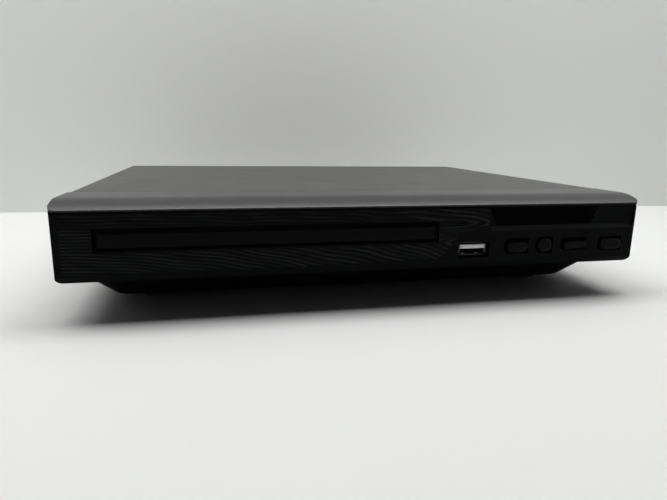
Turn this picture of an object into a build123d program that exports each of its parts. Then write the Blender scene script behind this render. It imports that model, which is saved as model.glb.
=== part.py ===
"""A compact disc player with a motor-driven tray: casing, loader, traverse deck and boards.

Millimetres, +Z up, the front faces -Y. The origin is on the ground under the middle of the player.
"""

from build123d import *
from math import cos, pi, radians, sin, sqrt, tan
import os

os.makedirs("parts", exist_ok=True)

# ---------------------------------------------------------------- driving dimensions

# Casing
left_margin = 13.55  # bezel's left end to the tray slot
control_width = 94.05  # tray slot to the bezel's right end
rear_bay = 29.75  # loader frame to the outside of the rear panel
case_height = 30.0  # bezel's bottom edge to the cover's top
base_height = 15.0  # ground to the bezel's bottom edge
sheet = 0.8  # folded steel of the cover, pan and rear panel
moulding = 2.2  # wall of the moulded bezel
seat_gap = 0.2  # between pieces that lie against each other
slide_gap = 0.3  # between pieces that slide past each other

# Front bezel
strip_depth = 29.8  # lip to the seam with the top cover
brow_depth = 12.0  # rounded part of the strip
brow_drop = 3.1  # cover's top to the lip's edge
lip_height = 0.8
groove_height = 0.9
groove_depth = 0.8
face_inset = 1.2  # lip to face
chin_height = 2.5
chin_depth = 2.0
bezel_foot = 16.0  # bottom flange, front to back
bezel_corner = 20.0  # bottom flange at the ends, where the pan's corners turn away
bezel_top_radius = 5.0
bezel_low_radius = 2.5
bezel_end_radius = 3.0
tongue_length = 4.0  # ledge under the front of the top cover
tongue_thickness = 1.2

# Tray slot in the bezel
slot_side = 2.4  # beside the tray
slot_height = 9.2
slot_bottom = 11.2  # above the bezel's bottom edge

# Display recess, window, socket hole and buttons, from the bezel's right end and above its bottom edge
recess_start = 71.0
recess_end = 1.4
recess_bottom = 15.6
recess_slope = 1.9
recess_depth = 0.9
window_start = 71.4
window_end = 19.3
window_draw = 3.6  # how far the window's sides lean in towards its foot
window_bottom = 17.6
window_lip = 1.0  # flange behind the opening
window_inset = 0.1
usb_setback = 77.85  # to the socket's middle
usb_bottom = 4.1
usb_hole_width = 14.1
usb_hole_height = 7.0
button_proud = 0.9
button_gap = 0.4
button_travel = 0.8
button_flange = 1.0  # thickness of the rim behind the bezel
button_rim = 0.9  # how far that rim stands out around the button
button_edge_radius = 0.7
stem_radius = 1.5
round_flat = 0.12  # straight part left at a button's round end
soft_flat = 1.1  # straight part left at a button's softer end
switch_width = 6.0
switch_height = 3.5
plunger_radius = 1.7
plunger_height = 1.0
boss_radius = 2.3
boss_low = 5.2  # screw bosses above the bezel's bottom edge
boss_high = 22.5
boss_hole_radius = 1.2

# Base pan, rubber feet and rear panel
pan_side_rake = 14.0  # bezel's end to the pan's floor
pan_front_rake = 27.0  # lip to the pan's floor
pan_rim_rake = 14.4  # lip to the pan's rim
pan_floor_radius = 8.0
pan_rim_radius = 14.0
pan_flange = 7.0  # side walls above the bezel's bottom edge
foot_radius = 9.0
foot_height = 3.0
foot_inset = 18.0  # pan floor's sides to the feet
foot_front = 41.0  # lip to the front feet
foot_rear = 18.0  # rear panel to the rear feet
jack_reach = 8.5  # round jacks stand out behind the rear panel

# Tray
disc_radius = 60.0
front_rim = 5.45  # tray's front edge to the disc well
side_rim = 3.3  # disc well to the tray's sides
tail_rim = 37.0  # outermost track to the tray's rear edge
small_disc_radius = 40.0
disc_clearance = 0.5
tray_height = 7.9
tray_rail = 2.8
tray_floor = 1.5
small_well_depth = 1.2
disc_well_depth = 3.0
tray_stroke = 130.0
rack_tail = 12.0  # rack beyond the stroke
door_overlap = 0.9  # beyond the tray's sides
door_height = 6.2
door_thickness = 1.6
door_inset = 0.5  # bezel face to door
keyhole_radius = 20.0
rear_bar = 10.0
finger_radius = 12.0

# Loader frame
frame_wall = 2.0
loader_tail = 6.0  # tray's rear edge to the frame's
frame_setback = 2.25  # bezel's inner face to the frame
frame_plate = 1.5
front_plate_depth = 36.6
leg_radius = 3.5
leg_inset = 8.0
bridge_sheet = 1.0
bridge_depth = 50.0

# Loading train
load_module = 0.8
rack_offset = 50.0  # tray's middle to the rack's pitch line
rack_height = 2.2
rack_back = 2.0
drive_teeth = 32
mid_teeth = 36
pinion_teeth = 12
train_setback = 22.75  # lip to the gears' axes
gear_backlash = 0.2
axle_radius = 1.5
axle_clearance = 0.05
pulley_radius = 13.0
pulley_groove = 1.0
motor_pulley_radius = 3.5
belt_thickness = 1.4
belt_clearance = 0.15
motor_offset = -49.75  # tray's middle to the loading motor
motor_setback = 40.25  # lip to the loading motor
motor_radius = 12.2
motor_height = 12.3
motor_shaft_radius = 1.0

# Traverse deck, drawn level and then tilted down about its rear pivot
deck_tilt = 5.5
pivot_inset = 14.0  # tray's rear edge to the deck's pivot
deck_plate_thickness = 1.5
deck_rise = 6.5  # bezel's bottom edge to the underside of the level plate
deck_half_width = 45.0
deck_nose_half_width = 30.0
deck_side_gap = 3.0  # deck to its pivot brackets
bracket_width = 4.0
cam_pin_spread = 26.0
cam_pin_radius = 1.5
cam_travel = 13.0
cam_thickness = 2.2
cam_clearance = 0.35
rod_radius = 1.5
rod_spread = 34.0
rod_drop = 6.3  # deck plate's underside to the rods' middle
rod_holder_grip = 2.6  # holder beyond the rod's middle
rod_holder_length = 3.8
sled_inner_reach = 22.0  # turntable's axis to the lens at the innermost track
sled_rim = 2.0  # outermost track to the disc's edge
sled_nose = 9.5  # lens to the sled's front
sled_tail = 11.5  # lens to the sled's rear
sled_drop = 8.9  # deck plate's underside to the sled's
sled_body_height = 7.9
sled_arm_height = 5.2
sled_arm_reach = 3.5  # arms beyond the rods' middle
lens_rise = 7.9  # deck plate's underside to the lens holder's top
lens_radius = 2.6
lens_height = 0.9
sled_rack_drop = 1.6  # rods' middle to the rack's underside
sled_rack_height = 2.8
rack_spare = 4.0  # rack beyond the sled's travel
sled_module = 0.6
feed_teeth = 30
feed_pinion_teeth = 12
sled_motor_teeth = 10
feed_gear_height = 2.0
feed_axle_radius = 1.0
mesh_angle = 60  # sled motor round the feed gear
sled_motor_radius = 7.5
sled_motor_height = 9.0
sled_motor_drop = 3.9  # deck plate's underside to the motor's top
sled_shaft_radius = 0.75
ear_gap = 2.0  # sled motor's can to its screw posts
ear_post_radius = 1.5
ear_width = 5.0
spindle_motor_radius = 11.0
spindle_motor_drop = 7.0
spindle_boss_radius = 3.6
turntable_radius = 15.0
turntable_lift = 1.0  # disc lifted off the tray when the deck is up
turntable_rim_height = 1.4
turntable_stem_radius = 6.0
hub_radius = 7.4
hub_height = 2.8
spindle_radius = 1.0
clamper_radius = 17.0
clamper_neck_radius = 12.0

# Boards and sockets
board = 1.6
board_level = 14.0  # underside of the main and power boards, above the ground
standoff_inset = 14.0  # board's ends to its standoffs, clear of the pan's sloping sides
front_board_setback = 16.25  # lip to the front board
barrel_radius = 4.15
barrel_wall = 0.5
barrel_root = 0.5  # rear panel to the full-width part of a barrel
neck_radius = 3.95
jack_pitch = 14.0
jack_axis_height = 9.0  # above the main board
inlet_setback = 17.0  # power board's left end to the inlet
capacitor_setback = 39.0
capacitor_radius = 8.0
capacitor_height = 22.0
core_setback = 52.0  # transformer's core
core_width = 20.0
winding_overhang = 2.0
filter_setback = 86.0  # row of small capacitors
filter_pitch = 12.0
filter_radius = 4.0
filter_height = 13.0
chip_width = 24.0  # decoder with its finned cooler
fin_height = 8.0
hdmi_setback = 12.5  # main board's left end to the video socket
jack_setback = 34.0  # main board's right end to the middle jack
main_board_depth = 91.45

# ---------------------------------------------------------------- places worked out from them

sled_travel = disc_radius - sled_rim - sled_inner_reach
tray_width = 2 * (disc_radius + disc_clearance + side_rim)
tray_setback = face_inset + door_inset + door_thickness
disc_setback = tray_setback + front_rim + disc_clearance + disc_radius
tray_length = front_rim + disc_clearance + disc_radius + sled_inner_reach + sled_travel + tail_rim
slot_width = tray_width + 2 * slot_side
door_width = tray_width + 2 * door_overlap
case_width = left_margin + slot_width + control_width
case_depth = tray_setback + tray_length + loader_tail + rear_bay

front_y = -(case_depth + jack_reach) / 2
back_y = front_y + case_depth
case_top = base_height + case_height
seam_y = front_y + strip_depth
lip_z = case_top - brow_drop
groove_top = lip_z - lip_height
face_top = groove_top - groove_height
face_y = front_y + face_inset
face_back = face_y + moulding
chin_z = base_height + chin_height
cover_inner_z = case_top - sheet
half_width = case_width / 2
slot_centre = -half_width + left_margin + slot_width / 2
recess_left = half_width - recess_start
recess_right = half_width - recess_end
window_left = half_width - window_start
window_right = half_width - window_end
usb_centre = half_width - usb_setback

pan_floor_half = half_width - pan_side_rake
pan_floor_top = foot_height + sheet
pan_rim_z = base_height - seat_gap
pan_rim_half = half_width - sheet - slide_gap
panel_front = back_y - sheet
pan_back = panel_front - seat_gap
pan_front_floor = front_y + pan_front_rake
pan_front_rim = front_y + pan_rim_rake
rear_foot_y = back_y - foot_rear
front_foot_y = front_y + foot_front

slot_z = base_height + slot_bottom
tray_z = slot_z + (slot_height - tray_height) / 2 - 0.15
tray_top = tray_z + tray_height
tray_under = tray_z + rack_height
tray_front = front_y + tray_setback
tray_back = tray_front + tray_length
seat_z = tray_top - disc_well_depth
door_z = slot_z + (slot_height - door_height) / 2 - 0.1
disc_y = front_y + disc_setback

frame_half = tray_width / 2 + slide_gap + frame_wall
frame_inner = frame_half - frame_wall
frame_floor = base_height + moulding + slide_gap
frame_front = face_back + frame_setback
frame_back = tray_back + loader_tail
frame_top = tray_top + 1.4
plate_top = frame_floor + frame_plate
plate_back = frame_front + front_plate_depth
gear_low = plate_top + 0.4
gear_low_height = 2.4
gear_high = gear_low + gear_low_height + 0.6
gear_high_height = 3.2

rack_x = slot_centre + rack_offset
drive_radius = load_module * drive_teeth / 2
mid_radius = load_module * mid_teeth / 2
pinion_radius = load_module * pinion_teeth / 2
drive_x = rack_x - drive_radius
mid_x = drive_x - drive_radius - pinion_radius
pulley_x = mid_x - mid_radius - pinion_radius
train_y = front_y + train_setback
motor_x = slot_centre + motor_offset
motor_y = front_y + motor_setback

turntable_seat = seat_z + turntable_lift
deck_level = base_height + deck_rise
rod_level = deck_level - rod_drop
pivot_y = tray_back - pivot_inset
pivot_z = deck_level + deck_plate_thickness / 2
lens_y = disc_y + sled_inner_reach
rod_x = rod_spread / 2
cam_y = plate_back + 1.5
cam_drop = (pivot_y - cam_y - cam_thickness / 2) * sin(radians(deck_tilt))

front_board_y = front_y + front_board_setback
board_top = board_level + board
bay_left = slot_centre + frame_half + 5.0
board_right = pan_rim_half - 2.9


def deck(height):
    """The traverse deck's plane at a height of the level deck, tilted down about the rear pivot."""
    angle = radians(deck_tilt)
    origin_y = pivot_y - pivot_y * cos(angle) + pivot_z * sin(angle)
    origin_z = pivot_z - pivot_y * sin(angle) - pivot_z * cos(angle)
    level = Plane(origin=(slot_centre, origin_y, origin_z), x_dir=(1, 0, 0),
                  z_dir=(0, -sin(angle), cos(angle)))
    return level.offset(height)


def save(builder, name):
    """Label a finished piece and write its STEP file."""
    builder.part.label = name
    export_step(builder.part, f"parts/{name}.step")


def box(x_span, y_span, z_span, mode=Mode.ADD):
    """A block given by its limits along each axis."""
    sizes = [high - low for low, high in (x_span, y_span, z_span)]
    middle = [(low + high) / 2 for low, high in (x_span, y_span, z_span)]
    with Locations(tuple(middle)):
        Box(*sizes, mode=mode)


def slab(plane, corners, height, mode=Mode.ADD):
    """A polygon drawn on a plane and extruded along its normal."""
    with BuildSketch(plane) as profile:
        Polygon(*corners)
    extrude(profile.sketch, amount=height, mode=mode)


def post(plane, x, y, radius, height, mode=Mode.ADD):
    """A round post standing on a plane."""
    with BuildSketch(plane) as profile:
        with Locations((x, y)):
            Circle(radius)
    extrude(profile.sketch, amount=height, mode=mode)


def block(plane, x_span, y_span, height, mode=Mode.ADD):
    """A rectangular block standing on a plane."""
    with BuildSketch(plane) as profile:
        with Locations(((x_span[0] + x_span[1]) / 2, (y_span[0] + y_span[1]) / 2)):
            Rectangle(x_span[1] - x_span[0], y_span[1] - y_span[0])
    extrude(profile.sketch, amount=height, mode=mode)


def gear_points(teeth, module, tooth_at, x=0.0, y=0.0):
    """Outline of a spur gear with stub involute teeth, one tooth centred on an angle in degrees."""
    pressure = radians(20)
    pitch_radius = module * teeth / 2
    base_radius = pitch_radius * cos(pressure)
    tip_radius = pitch_radius + 0.8 * module
    root_radius = pitch_radius - 1.1 * module
    half_pitch = pi / (2 * teeth) - gear_backlash / 4 / pitch_radius

    def involute(radius):
        if radius <= base_radius:
            return 0.0
        slant = sqrt(radius**2 - base_radius**2) / base_radius
        return slant - Vector(1, slant).get_angle(Vector(1, 0)) * pi / 180

    points = []
    for tooth in range(teeth):
        middle = radians(tooth_at) + 2 * pi * tooth / teeth
        flank = [(r, half_pitch + involute(pitch_radius) - involute(r))
                 for r in (root_radius, pitch_radius, tip_radius)]
        for radius, half in flank:
            points.append((x + radius * cos(middle - half), y + radius * sin(middle - half)))
        for radius, half in reversed(flank):
            points.append((x + radius * cos(middle + half), y + radius * sin(middle + half)))
    return points


def rack_points(module, pitch_x, facing, body_x, start_y, teeth, tooth_y):
    """Outline of a rack along Y. Its teeth face +X or -X and one is centred on tooth_y."""
    pitch = pi * module
    half_tooth = pitch / 4 - gear_backlash / 4
    lean = tan(radians(20))
    tip_x = pitch_x + facing * 0.8 * module
    root_x = pitch_x - facing * 1.1 * module
    first = tooth_y + round((start_y - tooth_y) / pitch) * pitch
    points = [(body_x, first - pitch / 2), (root_x, first - pitch / 2)]
    for tooth in range(teeth):
        middle = first + tooth * pitch
        root_half = half_tooth + 1.1 * module * lean
        tip_half = half_tooth - 0.8 * module * lean
        points += [(root_x, middle - root_half), (tip_x, middle - tip_half),
                   (tip_x, middle + tip_half), (root_x, middle + root_half)]
    last = first + (teeth - 0.5) * pitch
    return points + [(root_x, last), (body_x, last)]


# ---------------------------------------------------------------- casing

button_outlines = {
    # name: left and right sides from the bezel's right end, bottom and top, flats of the left and right ends
    "eject_button": (63.8, 53.0, 5.9, 11.8, round_flat, soft_flat),
    "play_button": (48.7, 41.4, 5.5, 12.1, round_flat, round_flat),
    "stop_button": (36.6, 24.5, 6.6, 11.4, round_flat, soft_flat),
    "power_button": (18.0, 6.8, 6.0, 11.3, soft_flat, soft_flat),
}


def button_middle(name):
    """The middle of a button on the XZ plane."""
    start, end, low, high, _, _ = button_outlines[name]
    return half_width - (start + end) / 2, base_height + (low + high) / 2


def button_shape(name, grow):
    """The rounded outline of a button on the XZ plane, grown by a clearance."""
    start, end, low, high, left_flat, right_flat = button_outlines[name]
    width = start - end
    height = high - low
    with Locations(button_middle(name)):
        cap = Rectangle(width + 2 * grow, height + 2 * grow)
    corners = cap.vertices().sort_by(Axis.X)
    largest = min(width, height) / 2
    fillet(corners[:2], largest - left_flat)
    fillet(corners[2:], largest - right_flat)


def window_shape(grow, top):
    """The display window's trapezoid on the XZ plane, its sides and foot grown by a clearance."""
    low = base_height + window_bottom
    Polygon((window_left - grow, top), (window_right + grow, top),
            (window_right - window_draw + grow, low - grow), (window_left + window_draw - grow, low - grow))


def facing(y):
    """The XZ plane at a depth, its normal towards the front."""
    return Plane.XZ.offset(-y)


usb_side = usb_centre + usb_hole_width / 2
bezel_bosses = [
    (usb_centre - 4.0, base_height + boss_high),
    (half_width - 7.0, base_height + boss_high),
    (usb_side + boss_radius + 1.1, base_height + boss_low),
    (half_width - 21.2, base_height + boss_low),
]
brow_seat = 1.0  # where the wall thickens under the brow

with BuildPart() as front_bezel:
    with BuildSketch(Plane.YZ):
        with BuildLine():
            Line((seam_y, case_top), (front_y + brow_depth, case_top))
            TangentArc((front_y + brow_depth, case_top), (front_y, lip_z), tangent=(-1, 0))
            Polyline((front_y, lip_z), (front_y, groove_top), (face_y + groove_depth, groove_top),
                     (face_y + groove_depth, face_top), (face_y, face_top), (face_y, chin_z),
                     (face_y + chin_depth, base_height), (seam_y, base_height), (seam_y, case_top))
        make_face()
    extrude(amount=half_width, both=True)
    with BuildSketch(facing(seam_y)):
        with Locations((0, (base_height + case_top) / 2)):
            outline = Rectangle(case_width, case_height)
        ends = outline.vertices().sort_by(Axis.Y)
        fillet(ends[:2], bezel_low_radius)
        fillet(ends[2:], bezel_top_radius)
    extrude(amount=strip_depth, mode=Mode.INTERSECT)
    with BuildSketch(Plane.XY.offset(base_height)):
        with Locations((0, front_y + strip_depth / 2)):
            plan = Rectangle(case_width, strip_depth)
        fillet(plan.vertices().sort_by(Axis.Y)[:2], bezel_end_radius)
    extrude(amount=case_height, mode=Mode.INTERSECT)
    inner_top = case_top - moulding
    slab(Plane.YZ.offset(-half_width + moulding),
         [(seam_y + 1, inner_top), (front_y + brow_depth, inner_top), (face_back + brow_seat, lip_z - 1.6),
          (face_back, face_top - brow_seat), (face_back, base_height + moulding),
          (seam_y + 1, base_height + moulding)],
         case_width - 2 * moulding, mode=Mode.SUBTRACT)
    box((-half_width + bezel_corner, half_width - bezel_corner), (front_y + bezel_foot, seam_y + 1),
        (base_height - 1, base_height + moulding), mode=Mode.SUBTRACT)
    tongue_top = cover_inner_z - seat_gap
    box((-half_width + 8, half_width - 8), (seam_y - 6, seam_y + tongue_length),
        (tongue_top - tongue_thickness, tongue_top))
    with BuildSketch(facing(face_back)):
        with Locations(*bezel_bosses):
            Circle(boss_radius)
    extrude(amount=-(front_board_y - face_back))
    slab(Plane.YZ.offset(recess_left),
         [(face_y - 1, base_height + recess_bottom), (face_y, base_height + recess_bottom),
          (face_y + recess_depth, base_height + recess_bottom + recess_slope),
          (face_y + recess_depth, face_top), (face_y - 1, face_top)],
         recess_right - recess_left, mode=Mode.SUBTRACT)
    box((slot_centre - slot_width / 2, slot_centre + slot_width / 2), (face_y - 1, face_back + 1),
        (slot_z, slot_z + slot_height), mode=Mode.SUBTRACT)
    with BuildSketch(facing(face_back + 1)):
        window_shape(0, face_top)
        with Locations((usb_centre, base_height + usb_bottom + usb_hole_height / 2)):
            RectangleRounded(usb_hole_width, usb_hole_height, 0.5)
        for name in button_outlines:
            button_shape(name, button_gap)
    extrude(amount=moulding + 2, mode=Mode.SUBTRACT)
save(front_bezel, "front_bezel")

with BuildPart() as display_window:
    with BuildSketch(facing(face_back + seat_gap + window_lip)):
        window_shape(window_lip, face_top - brow_seat - seat_gap)
    extrude(amount=window_lip)
    with BuildSketch(facing(face_back + seat_gap)):
        window_shape(-seat_gap, face_top - seat_gap)
    extrude(amount=seat_gap + moulding - recess_depth - window_inset)
save(display_window, "display_window")

plunger_front = front_board_y - switch_height - plunger_height

for name in button_outlines:
    with BuildPart() as button:
        with BuildSketch(facing(face_back + slide_gap)):
            button_shape(name, 0)
        extrude(amount=slide_gap + moulding + button_proud)
        crown = button.faces().sort_by(Axis.Y)[0]
        fillet(crown.edges(), button_edge_radius)
        with BuildSketch(facing(face_back + slide_gap + button_flange)):
            button_shape(name, button_rim)
        extrude(amount=button_flange)
        stem_end = plunger_front - button_travel - 0.1
        post(facing(stem_end), *button_middle(name), stem_radius,
             stem_end - face_back - slide_gap - button_flange)
    save(button, name)

cover_front = seam_y + slide_gap

with BuildPart() as top_cover:
    with BuildSketch(facing(back_y)):
        with BuildLine():
            Polyline((-half_width, base_height), (-half_width, case_top), (half_width, case_top),
                     (half_width, base_height), (half_width - sheet, base_height),
                     (half_width - sheet, cover_inner_z), (-half_width + sheet, cover_inner_z),
                     (-half_width + sheet, base_height), close=True)
        make_face()
    extrude(amount=back_y - cover_front)
    bends = top_cover.edges().filter_by(Axis.Y).group_by(Axis.Z)[-1]
    fillet(bends, 1.6)
    inner_bends = [edge for edge in top_cover.edges().filter_by(Axis.Y)
                   if abs(edge.center().Z - cover_inner_z) < 0.01]
    fillet(inner_bends, 0.8)
    with BuildSketch(Plane.YZ.offset(-half_width - 1)):
        with Locations((back_y - 52, case_top - 13)):
            with GridLocations(5.0, 1, 12, 1):
                SlotOverall(12, 2.2, rotation=90)
    extrude(amount=case_width + 2, mode=Mode.SUBTRACT)
save(top_cover, "top_cover")


def pan_outline(half, front, radius, back, inset):
    """The pan's plan outline: round front corners and tight rear ones."""
    depth = back - front - 2 * inset
    with Locations((0, (front + back) / 2)):
        plate = Rectangle(2 * (half - inset), depth)
    corners = plate.vertices().sort_by(Axis.Y)
    fillet(corners[:2], radius - inset)
    fillet(corners[2:], 1.6)


front_leg_y = motor_y + motor_radius + leg_radius + 2
rear_leg_y = frame_back - 2 * leg_radius
legs = [(slot_centre + side * (frame_inner - leg_inset), y)
        for side in (-1, 1) for y in (front_leg_y, rear_leg_y)]
power_board_y = (frame_back + 3.0, pan_back - sheet - 0.5)
power_board_x = (-board_right + 4, bay_left - 9)
main_board_y = (pan_back - sheet - 0.5 - main_board_depth, pan_back - sheet - 0.5)
main_board_x = (bay_left, board_right)


def corner_spots(x_span, y_span, inset_x, inset_y):
    """The four places near the corners of a board."""
    return [(x, y) for x in (x_span[0] + inset_x, x_span[1] - inset_x)
            for y in (y_span[0] + inset_y, y_span[1] - inset_y)]


standoffs = (corner_spots(power_board_x, power_board_y, standoff_inset, 5.0)
             + corner_spots(main_board_x, main_board_y, standoff_inset, 5.0))

with BuildPart() as chassis_pan:
    with BuildSketch(Plane.XY.offset(foot_height)):
        pan_outline(pan_floor_half, pan_front_floor, pan_floor_radius, pan_back, 0)
    with BuildSketch(Plane.XY.offset(pan_rim_z)):
        pan_outline(pan_rim_half, pan_front_rim, pan_rim_radius, pan_back, 0)
    loft(ruled=True)
    with BuildSketch(Plane.XY.offset(pan_floor_top)):
        pan_outline(pan_floor_half, pan_front_floor, pan_floor_radius, pan_back, sheet)
    with BuildSketch(Plane.XY.offset(pan_rim_z)):
        pan_outline(pan_rim_half, pan_front_rim, pan_rim_radius, pan_back, sheet)
    loft(ruled=True, mode=Mode.SUBTRACT)
    for side in (-1, 1):
        inner, outer = sorted((side * pan_rim_half, side * (pan_rim_half - sheet)))
        box((inner, outer), (cover_front + 1, pan_back - 2), (pan_rim_z - 1, base_height + pan_flange))
    with BuildSketch(Plane.XY.offset(pan_floor_top)):
        with Locations(*standoffs):
            Circle(3.0)
    extrude(amount=board_level - pan_floor_top)
    with BuildSketch(Plane.XY.offset(foot_height - 1)):
        with Locations((sum(main_board_x) / 2, sum(main_board_y) / 2)):
            with GridLocations(7.0, 1, 8, 1):
                SlotOverall(34, 2.4, rotation=90)
    extrude(amount=sheet + 2, mode=Mode.SUBTRACT)
save(chassis_pan, "chassis_pan")

foot_x = pan_floor_half - foot_inset
feet = {
    "foot_front_left": (-foot_x, front_foot_y),
    "foot_front_right": (foot_x, front_foot_y),
    "foot_rear_left": (-foot_x, rear_foot_y),
    "foot_rear_right": (foot_x, rear_foot_y),
}
for name, foot_place in feet.items():
    with BuildPart() as foot:
        post(Plane.XY, *foot_place, foot_radius, foot_height)
        chamfer(foot.edges().group_by(Axis.Z)[0], 0.6)
    save(foot, name)

jack_z = board_top + jack_axis_height
inlet_centre = power_board_x[0] + inlet_setback
hdmi_centre = main_board_x[0] + hdmi_setback
jack_centre = main_board_x[1] - jack_setback
inlet_size = (21.0, 15.0)
inlet_z = board_top + inlet_size[1] / 2
hdmi_size = (15.0, 5.8)
hdmi_z = board_top + hdmi_size[1] / 2
jack_places = [jack_centre + step * jack_pitch for step in (-1, 0, 1)]

with BuildPart() as rear_panel:
    with BuildSketch(facing(back_y)):
        with Locations((0, (base_height + cover_inner_z - seat_gap) / 2)):
            Rectangle(2 * pan_rim_half, cover_inner_z - seat_gap - base_height)
        Polygon((-pan_rim_half, base_height), (-pan_floor_half, foot_height), (pan_floor_half, foot_height),
                (pan_rim_half, base_height))
    extrude(amount=sheet)
    with BuildSketch(facing(back_y)):
        with Locations((inlet_centre, inlet_z)):
            Rectangle(inlet_size[0] + 2 * seat_gap, inlet_size[1] + 2 * seat_gap)
        with Locations((hdmi_centre, hdmi_z)):
            Rectangle(hdmi_size[0] + 2 * seat_gap, hdmi_size[1] + 2 * seat_gap)
        with Locations(*[(x, jack_z) for x in jack_places]):
            Circle(barrel_radius + slide_gap)
        with Locations((-24, case_top - 13)):
            with GridLocations(5.0, 1, 14, 1):
                SlotOverall(12, 2.2, rotation=90)
    extrude(amount=sheet + 1, mode=Mode.SUBTRACT)
save(rear_panel, "rear_panel")

# ---------------------------------------------------------------- tray and loader frame

disc_place = (slot_centre, disc_y)
keyhole_end = tray_back - rear_bar
diagonal = (disc_radius + 2.0) / sqrt(2)
rack_teeth = round((tray_stroke + rack_tail) / (pi * load_module))

with BuildPart() as tray:
    box((slot_centre - tray_width / 2, slot_centre + tray_width / 2), (tray_front, tray_back),
        (tray_z, tray_top))
    box((slot_centre - tray_width / 2 + tray_rail, slot_centre + tray_width / 2 - tray_rail),
        (tray_front + 2.5, tray_back + 1), (tray_z - 1, tray_under), mode=Mode.SUBTRACT)
    post(Plane.XY.offset(seat_z), *disc_place, disc_radius + disc_clearance, 20, mode=Mode.SUBTRACT)
    post(Plane.XY.offset(seat_z - small_well_depth), *disc_place,
         small_disc_radius + disc_clearance, 20, mode=Mode.SUBTRACT)
    with BuildSketch(Plane.XY.offset(seat_z - small_well_depth)):
        with Locations(disc_place):
            with GridLocations(2 * diagonal, 2 * diagonal, 2, 2):
                Circle(finger_radius)
    extrude(amount=20, mode=Mode.SUBTRACT)
    with BuildSketch(Plane.XY.offset(tray_z - 1)):
        with Locations(disc_place):
            Circle(keyhole_radius)
        with Locations((slot_centre, (disc_y + keyhole_end) / 2)):
            Rectangle(2 * keyhole_radius, keyhole_end - disc_y)
    extrude(amount=tray_height + 2, mode=Mode.SUBTRACT)
    bar_top = tray_under + tray_floor + 0.6
    box((slot_centre - keyhole_radius - 2, slot_centre + keyhole_radius + 2),
        (disc_y + disc_radius - 10, tray_back + 1), (bar_top, tray_top + 1), mode=Mode.SUBTRACT)
    rack = rack_points(load_module, rack_x, -1, rack_x + rack_back, tray_front + 12, rack_teeth,
                       train_y)
    slab(Plane.XY.offset(tray_z), rack, rack_height)
save(tray, "tray")

with BuildPart() as tray_door:
    box((slot_centre - door_width / 2, slot_centre + door_width / 2),
        (tray_front - door_thickness, tray_front), (door_z, door_z + door_height))
    fillet(tray_door.faces().sort_by(Axis.Y)[0].edges(), 0.4)
save(tray_door, "tray_door")

well_half = deck_half_width + deck_side_gap
pivot_bracket = (well_half, well_half + bracket_width)
tab_places = [frame_front + 9, disc_y + 30, disc_y + 80]
axle_posts = {drive_x: gear_high + gear_high_height + rack_height + 0.4, mid_x: gear_high + gear_high_height,
              pulley_x: gear_high + gear_high_height}

with BuildPart() as loader_frame:
    box((slot_centre - frame_half, slot_centre + frame_half), (frame_front, frame_back),
        (frame_floor, frame_top))
    box((slot_centre - frame_inner, slot_centre + frame_inner),
        (frame_front + 1.2, frame_back - frame_wall), (plate_top, frame_top + 1), mode=Mode.SUBTRACT)
    box((slot_centre - frame_inner, slot_centre + frame_inner), (frame_front - 1, frame_front + 2),
        (tray_z - 0.5, frame_top + 1), mode=Mode.SUBTRACT)
    box((slot_centre - well_half, slot_centre + well_half),
        (plate_back, frame_back - frame_wall), (frame_floor - 1, plate_top + 1), mode=Mode.SUBTRACT)
    for side in (-1, 1):
        wall_x = slot_centre + side * (frame_inner + 0.5)
        ledge_x = slot_centre + side * (frame_inner - tray_rail)
        ledge = tuple(sorted((wall_x, ledge_x)))
        box(ledge, (frame_front, frame_back - 0.5), (tray_z - seat_gap - 2, tray_z - seat_gap))
        for tab_y in tab_places:
            box(ledge, (tab_y - 5, tab_y + 5), (tray_top + seat_gap, frame_top))
        bracket = tuple(sorted(slot_centre + side * reach for reach in pivot_bracket))
        box(bracket, (pivot_y - 4, pivot_y + 4), (plate_top - 0.5, pivot_z + 3.5))
    with BuildSketch(Plane.XY.offset(pan_floor_top)):
        with Locations(*legs):
            Circle(leg_radius)
    extrude(amount=frame_floor - pan_floor_top + 0.5)
    for axle_x, axle_top in axle_posts.items():
        post(Plane.XY.offset(plate_top), axle_x, train_y, axle_radius + 1.0, gear_low - plate_top - 0.1)
        post(Plane.XY.offset(plate_top), axle_x, train_y, axle_radius, axle_top - plate_top)
    with BuildSketch(Plane.YZ.offset(slot_centre)):
        with Locations((pivot_y, pivot_z)):
            Circle(cam_pin_radius + axle_clearance)
    extrude(amount=pivot_bracket[1] + 1, both=True, mode=Mode.SUBTRACT)
    post(Plane.XY.offset(frame_floor - 1), motor_x, motor_y, 3.2, frame_plate + 2, mode=Mode.SUBTRACT)
save(loader_frame, "loader_frame")

with BuildPart() as clamp_bridge:
    box((slot_centre - frame_half, slot_centre + frame_half),
        (disc_y - bridge_depth / 2, disc_y + bridge_depth / 2), (frame_top, frame_top + bridge_sheet))
    for side in (-1, 1):
        rib_y = disc_y + side * (bridge_depth / 2 - 2)
        box((slot_centre - frame_half + 12, slot_centre + frame_half - 12), (rib_y - 1, rib_y + 1),
            (frame_top + bridge_sheet, frame_top + bridge_sheet + 1.6))
    post(Plane.XY.offset(frame_top - 1), *disc_place, clamper_neck_radius + 0.5, 4, mode=Mode.SUBTRACT)
save(clamp_bridge, "clamp_bridge")

clamper_top = frame_top - seat_gap
clamper_low = clamper_top - 1.6
cap_low = frame_top + bridge_sheet + slide_gap

with BuildPart() as clamper:
    post(Plane.XY.offset(clamper_low), *disc_place, clamper_radius, clamper_top - clamper_low)
    post(Plane.XY.offset(clamper_low), *disc_place, clamper_neck_radius, cap_low - clamper_low)
    post(Plane.XY.offset(clamper_low - 1), *disc_place, hub_radius + 0.8, 3.6, mode=Mode.SUBTRACT)
save(clamper, "clamper")

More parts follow.
